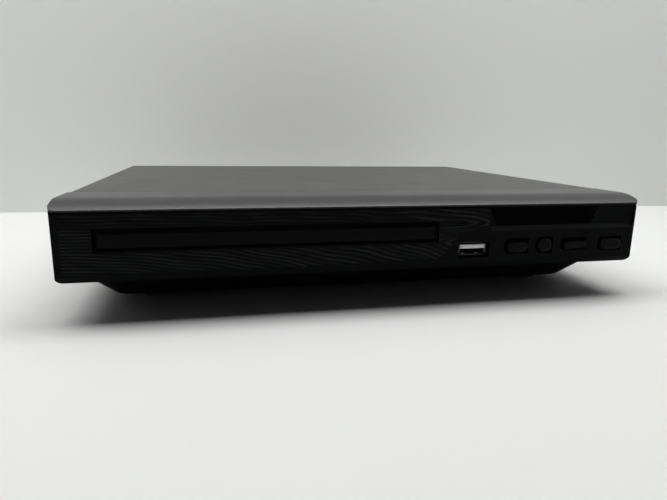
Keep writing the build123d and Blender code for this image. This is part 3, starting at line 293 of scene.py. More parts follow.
@dataclass(frozen=True)
class Finish:
    """A surface finish: its colour, gloss, grain and dust, and the material that shows them."""

    name: str
    colour: Colour
    roughness: float = 0.45
    metallic: float = 0.0
    specular: float = 0.5
    grain_scale: float = 2500.0
    grain_depth: float = 0.004  # millimetres
    lay: Lay = Lay.EVEN
    shade: float = 0.12  # share that the colour varies by
    gloss_spread: float = 0.06  # how far the roughness varies either way
    patch_scale: float = 45.0
    dust: float = 0.0  # how much of it covers a face that faces up

    DUST_COLOUR = (0.42, 0.41, 0.39)

    def material(self) -> bpy.types.Material:
        """Build the material once.

        Returns:
            The finish's material.
        """
        label = f"{self.name}_finish"
        found = bpy.data.materials.get(label)
        if found:
            return found
        made = bpy.data.materials.new(label)
        made.use_nodes = True
        tree = made.node_tree
        shader = tree.nodes["Principled BSDF"]
        shader.inputs["Metallic"].default_value = self.metallic
        shader.inputs["Specular IOR Level"].default_value = self.specular
        grain = self.place(tree, EFFECTS.grain(self.lay), Scale=self.grain_scale,
                           Depth=self.grain_depth * MM)
        patches = self.place(tree, EFFECTS.patches(), Scale=self.patch_scale,
                             Low=self.roughness - self.gloss_spread,
                             High=self.roughness + self.gloss_spread)
        tree.links.new(grain.outputs["Normal"], shader.inputs["Normal"])
        tree.links.new(patches.outputs["Value"], shader.inputs["Roughness"])
        tree.links.new(self.dusted(tree, self.tinted(tree, grain)), shader.inputs["Base Color"])
        self.extra(tree, shader)
        return made

    def place(self, tree: Tree, group: Tree, **values: float) -> bpy.types.Node:
        """Place a shared effect in the material with its own values.

        Args:
            tree: the material's nodes.
            group: the effect.
            **values: its inputs.

        Returns:
            The placed node.
        """
        node = tree.nodes.new("ShaderNodeGroup")
        node.node_tree = group
        for label, value in values.items():
            node.inputs[label].default_value = value
        return node

    def tinted(self, tree: Tree, grain: bpy.types.Node) -> bpy.types.NodeSocket:
        """Vary the colour between a darker and a lighter shade by the grain.

        Args:
            tree: the material's nodes.
            grain: the placed grain effect.

        Returns:
            The socket with the colour.
        """
        mix = ColourMix(tree, scaled(self.colour, 1 - self.shade), scaled(self.colour, 1 + self.shade))
        tree.links.new(grain.outputs["Mask"], mix.factor)
        return mix.result

    def dusted(self, tree: Tree, colour: bpy.types.NodeSocket) -> bpy.types.NodeSocket:
        """Lay the dust over the colour, where the finish has any.

        Args:
            tree: the material's nodes.
            colour: the colour under it.

        Returns:
            The socket with the colour.
        """
        if not self.dust:
            return colour
        dust = self.place(tree, EFFECTS.dust(), Amount=self.dust)
        over = ColourMix(tree, self.colour, self.DUST_COLOUR)
        tree.links.new(dust.outputs["Mask"], over.factor)
        tree.links.new(colour, over.first)
        return over.result

    def extra(self, tree: Tree, shader: bpy.types.Node) -> None:
        """Add what a special finish has beyond the common ones. A plain finish has nothing more."""


@dataclass(frozen=True)
class LacqueredTop(Finish):
    """Matt plastic whose upper strip, over the face, has a satin lacquer."""

    lacquer_low: float = 41.2  # heights between which it sets in
    lacquer_high: float = 42.0
    lacquer_roughness: float = 0.17
    lacquer_index: float = 2.0  # how strongly it reflects head-on
    lacquer_weight: float = 0.55

    def extra(self, tree: Tree, shader: bpy.types.Node) -> None:
        """Lay the lacquer above its lower edge.

        Args:
            tree: the material's nodes.
            shader: the material's shader.
        """
        shader.inputs["Coat Roughness"].default_value = self.lacquer_roughness
        shader.inputs["Coat IOR"].default_value = self.lacquer_index
        level = self.place(tree, EFFECTS.level(), Low=self.lacquer_low * MM, High=self.lacquer_high * MM)
        share = tree.nodes.new("ShaderNodeMath")
        share.operation = "MULTIPLY"
        share.inputs[1].default_value = self.lacquer_weight
        tree.links.new(level.outputs["Mask"], share.inputs[0])
        tree.links.new(share.outputs["Value"], shader.inputs["Coat Weight"])


@dataclass(frozen=True)
class Ridged(Finish):
    """Moulded ripples, with a painted highlight along their crests and painted shade in the hollows between
    them.
    """

    # painted highlight: the crests' colour, paler than the hollows' painted shade
    painted_crest_highlight: Colour = (0.0240, 0.0252, 0.0268)
    ATTRIBUTE = "ridge"

    def tinted(self, tree: Tree, grain: bpy.types.Node) -> bpy.types.NodeSocket:
        """Mix the hollows' painted shade and the crests' painted highlight by the ripples' height.

        Args:
            tree: the material's nodes.
            grain: the placed grain effect, which only gives the surface its bump here.

        Returns:
            The socket with the colour.
        """
        mix = ColourMix(tree, self.colour, self.painted_crest_highlight)
        height = tree.nodes.new("ShaderNodeAttribute")
        height.attribute_name = self.ATTRIBUTE
        tree.links.new(height.outputs["Fac"], mix.factor)
        return mix.result


@dataclass(frozen=True)
class Varnished(Finish):
    """A circuit board: copper tracks that show through green varnish."""

    track_colour: Colour = (0.06, 0.22, 0.09)
    track_scale: float = 330.0

    def tinted(self, tree: Tree, grain: bpy.types.Node) -> bpy.types.NodeSocket:
        """Mix the board's and the tracks' colours.

        Args:
            tree: the material's nodes.
            grain: the placed grain effect, which a board doesn't show.

        Returns:
            The socket with the colour.
        """
        mix = ColourMix(tree, self.colour, self.track_colour)
        tracks = self.place(tree, EFFECTS.tracks(), Scale=self.track_scale)
        tree.links.new(tracks.outputs["Mask"], mix.factor)
        return mix.result


@dataclass(frozen=True)
class Glazed(Finish):
    """A clear hard surface over the colour, such as a lens or a smoked window."""

    glaze_roughness: float = 0.05

    def extra(self, tree: Tree, shader: bpy.types.Node) -> None:
        """Add the clear surface.

        Args:
            tree: the material's nodes.
            shader: the material's shader.
        """
        shader.inputs["Coat Weight"].default_value = 1.0
        shader.inputs["Coat Roughness"].default_value = self.glaze_roughness


def seen_directly(tree: Tree) -> bpy.types.NodeSocket:
    """Tell what the camera, metal and glass see from what only lights the scene.

    Args:
        tree: nodes of a material or of the world.

    Returns:
        The socket that is 1 for the camera's, glossy and glass rays.
    """
    path = tree.nodes.new("ShaderNodeLightPath")
    result = path.outputs["Is Camera Ray"]
    for label in ("Is Glossy Ray", "Is Transmission Ray"):
        either = tree.nodes.new("ShaderNodeMath")
        either.operation = "MAXIMUM"
        tree.links.new(result, either.inputs[0])
        tree.links.new(path.outputs[label], either.inputs[1])
        result = either.outputs["Value"]
    return result


@dataclass(frozen=True)
class OneSided(Finish):
    """A stage surface that turns pale far away and hides nothing from a camera behind or under it."""

    passes_light: bool = False
    near: float = 0.5  # metres from the piece
    far: float = 1.1

    def extra(self, tree: Tree, shader: bpy.types.Node) -> None:
        """Let the surface glow palely far away, and let the camera see through its back.

        Args:
            tree: the material's nodes.
            shader: the material's shader.
        """
        whole = self._mixed(tree, self._far(tree), shader.outputs["BSDF"], "ShaderNodeEmission")
        whole = self._mixed(tree, self._clear(tree), whole, "ShaderNodeBsdfTransparent")
        tree.links.new(whole, tree.nodes["Material Output"].inputs["Surface"])

    def _mixed(self, tree: Tree, factor: bpy.types.NodeSocket, first: bpy.types.NodeSocket,
               second: str) -> bpy.types.NodeSocket:
        """Mix another shader over the first.

        Args:
            tree: the material's nodes.
            factor: the socket with the second shader's share.
            first: the first shader's socket.
            second: the second shader's type.

        Returns:
            The mixed shader's socket.
        """
        other = tree.nodes.new(second)
        if second == "ShaderNodeEmission":
            other.inputs["Color"].default_value = (*PALE, 1.0)
        mix = tree.nodes.new("ShaderNodeMixShader")
        tree.links.new(factor, mix.inputs[0])
        tree.links.new(first, mix.inputs[1])
        tree.links.new(other.outputs[0], mix.inputs[2])
        return mix.outputs["Shader"]

    def _far(self, tree: Tree) -> bpy.types.NodeSocket:
        """How much of the pale background shows: by distance, and only where it is seen directly.

        Args:
            tree: the material's nodes.

        Returns:
            The socket with its share.
        """
        coords = tree.nodes.new("ShaderNodeTexCoord")
        reach = tree.nodes.new("ShaderNodeVectorMath")
        reach.operation = "LENGTH"
        spread = tree.nodes.new("ShaderNodeMapRange")
        spread.interpolation_type = "SMOOTHSTEP"
        spread.inputs["From Min"].default_value = self.near
        spread.inputs["From Max"].default_value = self.far
        both = tree.nodes.new("ShaderNodeMath")
        both.operation = "MULTIPLY"
        tree.links.new(coords.outputs["Object"], reach.inputs[0])
        tree.links.new(reach.outputs["Value"], spread.inputs["Value"])
        tree.links.new(spread.outputs["Result"], both.inputs[0])
        tree.links.new(seen_directly(tree), both.inputs[1])
        return both.outputs["Value"]

    def _clear(self, tree: Tree) -> bpy.types.NodeSocket:
        """Where the surface is clear: from behind to the camera, and to the lamp if it passes light.

        Args:
            tree: the material's nodes.

        Returns:
            The socket that is 1 where it is clear.
        """
        geometry = tree.nodes.new("ShaderNodeNewGeometry")
        path = tree.nodes.new("ShaderNodeLightPath")
        both = tree.nodes.new("ShaderNodeMath")
        both.operation = "MULTIPLY"
        tree.links.new(geometry.outputs["Backfacing"], both.inputs[0])
        tree.links.new(path.outputs["Is Camera Ray"], both.inputs[1])
        if not self.passes_light:
            return both.outputs["Value"]
        either = tree.nodes.new("ShaderNodeMath")
        either.operation = "MAXIMUM"
        tree.links.new(both.outputs["Value"], either.inputs[0])
        tree.links.new(path.outputs["Is Shadow Ray"], either.inputs[1])
        return either.outputs["Value"]


FINISHES: dict[str, Finish] = {finish.name: finish for finish in (
    LacqueredTop("bezel_black", (0.0058, 0.0061, 0.0066), 0.5, specular=0.02, grain_depth=0.006),
    # painted light: the relief's own colour is the hollows' painted shade, and its crests take a painted
    # highlight
    Ridged("relief_black", (0.0012, 0.0013, 0.0014), 0.36, specular=0.035, grain_depth=0.003),
    Finish("window_smoke", (0.0008, 0.0008, 0.0010), 0.25, specular=0.01, grain_depth=0.0005),
    Finish("cover_black", (0.017, 0.017, 0.016), 0.42, specular=0.44, grain_scale=2200.0,
           grain_depth=0.012, shade=0.25, gloss_spread=0.015, dust=0.05),
    Finish("pan_black", (0.005, 0.005, 0.005), 0.5, specular=0.02, grain_depth=0.01),
    Finish("foot_rubber", (0.014, 0.014, 0.014), 0.75, specular=0.2, grain_scale=1200.0, grain_depth=0.02),
    Finish("tray_black", (0.015, 0.015, 0.016), 0.45, specular=0.3, grain_depth=0.008, shade=0.2),
    Finish("door_black", (0.0058, 0.0060, 0.0065), 0.42, specular=0.02, grain_depth=0.004),
    Finish("button_black", (0.0036, 0.0037, 0.0040), 0.26, specular=0.045, grain_depth=0.002),
    Finish("loader_black", (0.022, 0.022, 0.023), 0.5, grain_depth=0.01, shade=0.2),
    Finish("bridge_steel", (0.55, 0.55, 0.54), 0.34, metallic=1.0, lay=Lay.ALONG_X, grain_depth=0.003),
    Finish("clamper_white", (0.72, 0.72, 0.68), 0.42, grain_depth=0.004, shade=0.04),
    Finish("magnet_grey", (0.20, 0.20, 0.21), 0.4, metallic=0.9, grain_depth=0.01, shade=0.3),
    Finish("gear_white", (0.74, 0.73, 0.66), 0.38, grain_depth=0.003, shade=0.04),
    Finish("motor_steel", (0.50, 0.50, 0.50), 0.3, metallic=1.0, lay=Lay.ALONG_Z, grain_depth=0.003),
    Finish("belt_rubber", (0.018, 0.018, 0.018), 0.6, grain_scale=1500.0, grain_depth=0.01),
    Finish("cam_plastic", (0.62, 0.61, 0.55), 0.42, grain_depth=0.004, shade=0.05),
    Finish("deck_steel", (0.46, 0.46, 0.45), 0.38, metallic=1.0, lay=Lay.ALONG_X, grain_depth=0.004),
    Finish("rod_steel", (0.62, 0.62, 0.62), 0.14, metallic=1.0, lay=Lay.ALONG_Y, grain_depth=0.001),
    Finish("shaft_steel", (0.60, 0.60, 0.60), 0.16, metallic=1.0, lay=Lay.ALONG_Z, grain_depth=0.001),
    Finish("turntable_black", (0.016, 0.016, 0.017), 0.45, grain_depth=0.006),
    Finish("sled_metal", (0.34, 0.34, 0.35), 0.45, metallic=0.9, grain_depth=0.015, shade=0.2),
    Glazed("lens_glass", (0.05, 0.06, 0.16), 0.08, grain_depth=0.0002, shade=0.3),
    Varnished("board_green", (0.020, 0.085, 0.035), 0.3, grain_depth=0.003),
    Finish("display_grey", (0.10, 0.10, 0.11), 0.35, grain_depth=0.002),
    Glazed("sensor_black", (0.008, 0.006, 0.010), 0.2, grain_depth=0.001),
    Finish("switch_black", (0.012, 0.012, 0.012), 0.4, grain_depth=0.004),
    Finish("socket_metal", (0.085, 0.080, 0.075), 0.38, metallic=1.0, lay=Lay.ALONG_Y, grain_depth=0.002),
    Finish("tongue_white", (0.85, 0.85, 0.84), 0.4, grain_depth=0.002, shade=0.03),
    Finish("transformer_yellow", (0.62, 0.44, 0.05), 0.45, grain_depth=0.004, shade=0.15),
    Finish("capacitor_sleeve", (0.010, 0.014, 0.045), 0.32, grain_depth=0.002),
    Finish("inlet_black", (0.010, 0.010, 0.010), 0.45, grain_depth=0.004),
    Finish("pin_brass", (0.66, 0.50, 0.24), 0.26, metallic=1.0, grain_depth=0.002),
    Finish("heatsink_alu", (0.52, 0.52, 0.53), 0.4, metallic=1.0, lay=Lay.ALONG_Y, grain_depth=0.004),
    Finish("jack_black", (0.010, 0.010, 0.010), 0.42, grain_depth=0.004),
    Finish("barrel_nickel", (0.63, 0.61, 0.57), 0.2, metallic=1.0, grain_depth=0.001),
    Finish("insert_yellow", (0.72, 0.50, 0.03), 0.4, grain_depth=0.003, shade=0.05),
    Finish("insert_white", (0.74, 0.74, 0.72), 0.4, grain_depth=0.003, shade=0.04),
    Finish("insert_red", (0.50, 0.02, 0.015), 0.4, grain_depth=0.003, shade=0.06),
    Finish("ribbon_grey", (0.42, 0.43, 0.44), 0.5, lay=Lay.ALONG_Y, grain_scale=900.0, grain_depth=0.02,
           shade=0.25),
    # painted shade: near-black for the key rims and the door seal, so that the gaps round the keys and the
    # door look dark
    Finish("recess_black", (0.0010, 0.0010, 0.0011), 0.6, specular=0.02, grain_depth=0.003),
    # painted light: paler than the bezel, standing in for light falling on the sill's slope
    Finish("sill_black", (0.0105, 0.0110, 0.0118), 0.35, specular=0.06, grain_depth=0.003),
    Finish("screw_black", (0.030, 0.030, 0.032), 0.35, metallic=0.8, grain_depth=0.003),
    Finish("screw_zinc", (0.55, 0.54, 0.50), 0.3, metallic=1.0, grain_depth=0.003, shade=0.2),
    Finish("chip_black", (0.014, 0.014, 0.015), 0.55, grain_depth=0.006, shade=0.2),
    Finish("lead_tin", (0.60, 0.60, 0.58), 0.3, metallic=1.0, grain_depth=0.002),
    Finish("resistor_tan", (0.52, 0.36, 0.20), 0.45, grain_depth=0.003, shade=0.1),
    Finish("plug_white", (0.70, 0.69, 0.62), 0.45, grain_depth=0.004, shade=0.05),
    Finish("copper_wire", (0.70, 0.34, 0.18), 0.3, metallic=1.0, lay=Lay.ALONG_X, grain_depth=0.01),
    Glazed("fuse_glass", (0.35, 0.37, 0.37), 0.15, grain_depth=0.0003),
)}


# ---------------------------------------------------------------- the bench


class Bench:
    """The operators that the pieces are made with, on sizes in millimetres."""

    STRAIGHT = 0.9  # least share of a face's normal along the way that it counts as facing
    SAME_POINT = 1e-7  # metres between corners that are merged

    @staticmethod
    def done() -> None:
        """Leave edit mode, if it is on."""
        if bpy.context.object and bpy.context.object.mode != "OBJECT":
            bpy.ops.object.mode_set(mode="OBJECT")

    @staticmethod
    def clear() -> None:
        """Deselect everything, so that the next operator acts on the new piece alone."""
        Bench.done()
        bpy.ops.object.select_all(action="DESELECT")

    @staticmethod
    def hold(piece: Piece) -> None:
        """Select one piece alone and make it active.

        Args:
            piece: the piece.
        """
        Bench.clear()
        piece.select_set(True)
        bpy.context.view_layer.objects.active = piece

    @staticmethod
    def _named(name: str) -> Piece:
        """Name the new primitive and put its place in its mesh.

        Args:
            name: its name.

        Returns:
            The piece.
        """
        piece = bpy.context.active_object
        piece.name = name
        piece.data.name = name
        bpy.ops.object.transform_apply(location=True, rotation=True, scale=True)
        return piece

    @staticmethod
    def block(name: str, low: Point, high: Point) -> Piece:
        """Start from a box between two corners.

        Args:
            name: the piece's name.
            low: its lowest corner.
            high: its highest corner.

        Returns:
            The piece.
        """
        Bench.clear()
        middle = [(a + b) / 2 * MM for a, b in zip(low, high)]
        sides = [(b - a) * MM for a, b in zip(low, high)]
        bpy.ops.mesh.primitive_cube_add(size=1.0, location=middle, scale=sides)
        return Bench._named(name)

    @staticmethod
    def linked(name: str, corners: Sequence[Point], edges: Sequence[tuple[int, int]],
               faces: Sequence[Sequence[int]]) -> Piece:
        """Start from corners, edges and faces.

        Args:
            name: the piece's name.
            corners: its corners, in metres.
            edges: its loose edges.
            faces: its faces.

        Returns:
            The piece, in the scene.
        """
        mesh = bpy.data.meshes.new(name)
        mesh.from_pydata(corners, edges, faces)
        piece = bpy.data.objects.new(name, mesh)
        bpy.context.scene.collection.objects.link(piece)
        return piece

    @staticmethod
    def _placed(base: Point, facing: Facing) -> Matrix:
        """How a piece that was made at the origin, pointing up, gets to its place.

        Args:
            base: where its origin goes, in millimetres.
            facing: the way its top points.

        Returns:
            The turn and the shift.
        """
        turn = Vector(facing.value).to_track_quat("Z", "Y").to_matrix().to_4x4()
        return Matrix.Translation(Vector(base) * MM) @ turn

    @staticmethod
    def rod(name: str, middle: Point, radius: float, length: float, facing: Facing,
            sides: int = 32) -> Piece:
        """Start from a cylinder.

        Args:
            name: the piece's name.
            middle: its middle.
            radius: its radius.
            length: its length.
            facing: the way its axis points.
            sides: its number of sides.

        Returns:
            The piece.
        """
        Bench.clear()
        turn = Vector(facing.value).to_track_quat("Z", "Y").to_euler()
        bpy.ops.mesh.primitive_cylinder_add(vertices=sides, radius=radius * MM, depth=length * MM,
                                            location=[v * MM for v in middle], rotation=turn)
        return Bench._named(name)

    @staticmethod
    def turned(name: str, profile: Sequence[Spot], base: Point, facing: Facing, steps: int = 32) -> Piece:
        """Spin a profile round an axis, as on a lathe.

        Args:
            name: the piece's name.
            profile: radius and height of each corner, from the axis back to the axis, or those of a
                closed ring.
            base: the point that height 0 is at.
            facing: the way the height grows.
            steps: how many sides it gets.

        Returns:
            The piece.
        """
        corners = [(radius * MM, 0.0, height * MM) for radius, height in profile]
        edges = [(i, i + 1) for i in range(len(corners) - 1)]
        if min(radius for radius, _ in profile) > 0:
            edges.append((len(corners) - 1, 0))
        piece = Bench.linked(name, corners, edges, [])
        Bench.hold(piece)
        bpy.ops.object.mode_set(mode="EDIT")
        bpy.ops.mesh.select_all(action="SELECT")
        bpy.ops.mesh.spin(steps=steps, angle=math.tau, center=(0, 0, 0), axis=(0, 0, 1))
        bpy.ops.mesh.select_all(action="SELECT")
        bpy.ops.mesh.remove_doubles(threshold=Bench.SAME_POINT)
        bpy.ops.mesh.normals_make_consistent(inside=False)
        Bench.done()
        piece.data.transform(Bench._placed(base, facing))
        return piece

    @staticmethod
    def plate(name: str, outline: Sequence[Spot], front: float, depth: float) -> Piece:
        """Extrude an outline seen from the front into a plate.

        Args:
            name: the piece's name.
            outline: X and Z of each corner, anticlockwise as seen from the front.
            front: Y of its front face.
            depth: its thickness, behind that face.

        Returns:
            The piece, with its front face selected in edit mode.
        """
        corners = [(x * MM, (front + depth) * MM, z * MM) for x, z in outline]
        piece = Bench.linked(name, corners, [], [tuple(range(len(corners)))])
        Bench.hold(piece)
        bpy.ops.object.mode_set(mode="EDIT")
        bpy.ops.mesh.select_mode(type="FACE")
        bpy.ops.mesh.select_all(action="SELECT")
        bpy.ops.mesh.extrude_region_move(TRANSFORM_OT_translate={"value": (0, -depth * MM, 0)})
        return piece

    @staticmethod
    def pick(piece: Piece, test: Callable[[Vector, Vector], bool]) -> None:
        """Go into edit mode with some faces selected.

        Args:
            piece: the piece.
            test: says of a face's centre, in millimetres, and its normal whether it is selected.
        """
        Bench.hold(piece)
        bpy.ops.object.mode_set(mode="EDIT")
        bpy.ops.mesh.select_mode(type="FACE")
        bpy.ops.mesh.select_all(action="DESELECT")
        mesh = bmesh.from_edit_mesh(piece.data)
        for face in mesh.faces:
            face.select_set(bool(test(face.calc_center_median() / MM, face.normal)))
        bmesh.update_edit_mesh(piece.data)

    @staticmethod
    def side(piece: Piece, facing: Facing) -> None:
        """Go into edit mode with the faces that face one way selected."""
        Bench.pick(piece, lambda centre, normal: normal.dot(Vector(facing.value)) > Bench.STRAIGHT)

    @staticmethod
    def inset(width: float, depth: float = 0.0) -> None:
        """Inset the selected faces, and sink the new ones where depth is negative."""
        bpy.ops.mesh.inset(thickness=width * MM, depth=depth * MM, use_boundary=True)

    @staticmethod
    def shrink(piece: Piece, middle: Spot, share_x: float, share_z: float) -> None:
        """Draw the selected faces' corners in towards a middle, seen from the front.

        Args:
            piece: the piece, in edit mode.
            middle: X and Z of the middle.
            share_x: what is left of their distance along X.
            share_z: what is left of their distance along Z.
        """
        mesh = bmesh.from_edit_mesh(piece.data)
        for vertex in mesh.verts:
            if vertex.select:
                vertex.co.x = middle[0] * MM + (vertex.co.x - middle[0] * MM) * share_x
                vertex.co.z = middle[1] * MM + (vertex.co.z - middle[1] * MM) * share_z
        bmesh.update_edit_mesh(piece.data)

    @staticmethod
    def raise_up(x: float = 0.0, y: float = 0.0, z: float = 0.0) -> None:
        """Extrude the selected faces by a step."""
        bpy.ops.mesh.extrude_region_move(TRANSFORM_OT_translate={"value": (x * MM, y * MM, z * MM)})

    @staticmethod
    def soften(piece: Piece, width: float, segments: int = 2, angle: float = 40.0) -> None:
        """Round a piece's sharp edges and shade it smooth.

        Args:
            piece: the piece.
            width: width of the rounding.
            segments: its number of facets.
            angle: the least angle of an edge that is rounded, in degrees.
        """
        Bench.hold(piece)
        if width:
            bevel = piece.modifiers.new("rounding", "BEVEL")
            bevel.width = width * MM
            bevel.segments = segments
            bevel.limit_method = "ANGLE"
            bevel.angle_limit = math.radians(angle)
            bpy.ops.object.modifier_apply(modifier=bevel.name)
        bpy.ops.object.shade_smooth_by_angle(angle=math.radians(angle))

    @staticmethod
    def cut(piece: Piece, tool: Piece) -> None:
        """Take one piece's shape out of another, and clear the tool away.

        Args:
            piece: the piece that is cut.
            tool: the shape that is taken out.
        """
        Bench.hold(piece)
        boolean = piece.modifiers.new("cut", "BOOLEAN")
        boolean.operation = "DIFFERENCE"
        boolean.solver = "EXACT"
        boolean.object = tool
        bpy.ops.object.modifier_apply(modifier=boolean.name)
        bpy.data.objects.remove(tool)

    @staticmethod
    def joined(name: str, pieces: Sequence[Piece]) -> Piece:
        """Make several pieces one.

        Args:
            name: the whole's name.
            pieces: one piece or more.

        Returns:
            The whole.
        """
        Bench.hold(pieces[0])
        for piece in pieces:
            piece.select_set(True)
        if len(pieces) > 1:
            bpy.ops.object.join()
        joined = bpy.context.active_object
        joined.name = name
        joined.data.name = name
        return joined

    @staticmethod
    def copied(piece: Piece, name: str, place: Point, facing: Facing = Facing.UP,
               spin: float = 0.0) -> Piece:
        """Copy a piece that was modelled at the origin, pointing up.

        Args:
            piece: the piece.
            name: the copy's name.
            place: where its origin goes.
            facing: the way its top points.
            spin: how far it is turned about its own axis, in degrees.

        Returns:
            The copy, with its own mesh.
        """
        Bench.done()
        copy = piece.copy()
        copy.data = piece.data.copy()
        copy.name = name
        copy.data.name = name
        bpy.context.scene.collection.objects.link(copy)
        own = Matrix.Rotation(math.radians(spin), 4, "Z")
        copy.data.transform(Bench._placed(place, facing) @ own)
        return copy

    @staticmethod
    def away(piece: Piece) -> None:
        """Clear a pattern piece away once its copies are made."""
        bpy.data.objects.remove(piece)

    @staticmethod
    def dress(piece: Piece, finish: str, body: Body = Body.FRAME, *replaced: str) -> Piece:
        """Give a finished piece its material and its body.

        Args:
            piece: the piece.
            finish: name of its finish.
            body: the body that it rides on.
            *replaced: CAD nodes that it stands for.

        Returns:
            The piece.
        """
        Bench.done()
        piece.data.materials.clear()
        piece.data.materials.append(FINISHES[finish].material())
        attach(piece, body.value)
        if replaced:
            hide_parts(*replaced)
        LOG.info("%s: %s on %s", piece.name, finish, body.value)
        return piece


# ---------------------------------------------------------------- studio


@dataclass
class Studio:
    """The pale table, the wall behind it, the soft light and the camera of the photograph, in metres."""

    camera_place: Point = (-0.0630, -0.29935, 0.0692)
    camera_right: Point = (0.97569523, -0.21854206, 0.01606834)
    camera_up: Point = (0.03195991, 0.21446303, 0.97620908)
    lens: float = 28.29  # millimetres
    nearest: float = 0.01
    table_reach: float = 6.0
    wall_left: Spot = (-0.2246, 0.1877)
    wall_right: Spot = (0.3861, 0.1661)
    wall_height: float = 3.0
    table_colour: Colour = (0.735, 0.74, 0.73)
    wall_colour: Colour = (0.95, 0.96, 0.945)
    lamp_place: Point = (-0.04, 0.025, 0.72)
    lamp_size: Spot = (1.5, 0.29)
    lamp_power: float = 8.0
    room_colour: Colour = (0.93, 0.97, 1.0)
    room_strength: float = 0.018

    def build(self) -> None:
        """Make the camera, the table, the wall and the lights."""
        self._camera()
        reach, tall = self.table_reach, self.wall_height
        table = [(-reach, -reach, 0), (reach, -reach, 0), (reach, reach, 0), (-reach, reach, 0)]
        self._plane("table_top", table, self.table_colour)
        left, right = Vector(self.wall_left), Vector(self.wall_right)
        along = (right - left).normalized() * reach
        low, high = left - along, right + along
        wall = [(low.x, low.y, 0), (high.x, high.y, 0), (high.x, high.y, tall), (low.x, low.y, tall)]
        self._plane("back_wall", wall, self.wall_colour)
        self._lights()
        bpy.context.scene.view_settings.view_transform = "Standard"

    def _camera(self) -> None:
        """Place the camera as solved from the photograph's vanishing lines."""
        right, up = Vector(self.camera_right).normalized(), Vector(self.camera_up).normalized()
        data = bpy.data.cameras.new("photo_camera")
        data.lens = self.lens
        data.clip_start = self.nearest
        camera = bpy.data.objects.new("photo_camera", data)
        bpy.context.scene.collection.objects.link(camera)
        turn = Matrix((right, up, right.cross(up))).transposed().to_4x4()
        camera.matrix_world = Matrix.Translation(self.camera_place) @ turn
        bpy.context.scene.camera = camera

    def _plane(self, name: str, corners: Sequence[Point], colour: Colour) -> None:
        """Add a flat stage piece.

        Args:
            name: its name.
            corners: its corners in order.
            colour: its colour.
        """
        piece = Bench.linked(name, corners, [], [tuple(range(len(corners)))])
        finish = OneSided(name, colour, 0.6, specular=0.15, grain_depth=0.0, shade=0.01, patch_scale=3.0,
                          passes_light=name == "back_wall")
        piece.data.materials.append(finish.material())

    def _lights(self) -> None:
        """A long soft lamp over the casing, and a dim even room that looks pale where it is seen."""
        data = bpy.data.lights.new("ceiling_light", "AREA")
        data.shape = "RECTANGLE"
        data.size, data.size_y = self.lamp_size
        data.energy = self.lamp_power
        lamp = bpy.data.objects.new("ceiling_light", data)
        lamp.location = self.lamp_place
        bpy.context.scene.collection.objects.link(lamp)
        world = bpy.data.worlds.new("room")
        world.use_nodes = True
        tree = world.node_tree
        room = tree.nodes["Background"]
        room.inputs["Color"].default_value = (*self.room_colour, 1.0)
        room.inputs["Strength"].default_value = self.room_strength
        pale = tree.nodes.new("ShaderNodeBackground")
        pale.inputs["Color"].default_value = (*PALE, 1.0)
        mix = tree.nodes.new("ShaderNodeMixShader")
        tree.links.new(seen_directly(tree), mix.inputs[0])
        tree.links.new(room.outputs["Background"], mix.inputs[1])
        tree.links.new(pale.outputs["Background"], mix.inputs[2])
        tree.links.new(mix.outputs["Shader"], tree.nodes["World Output"].inputs["Surface"])
        bpy.context.scene.world = world


# ---------------------------------------------------------------- front face


def eased(value: np.ndarray | float, low: float, high: float) -> np.ndarray | float:
    """A smooth step from 0 at low to 1 at high."""
    share = np.clip((value - low) / (high - low), 0.0, 1.0)
    return share * share * (3.0 - 2.0 * share)


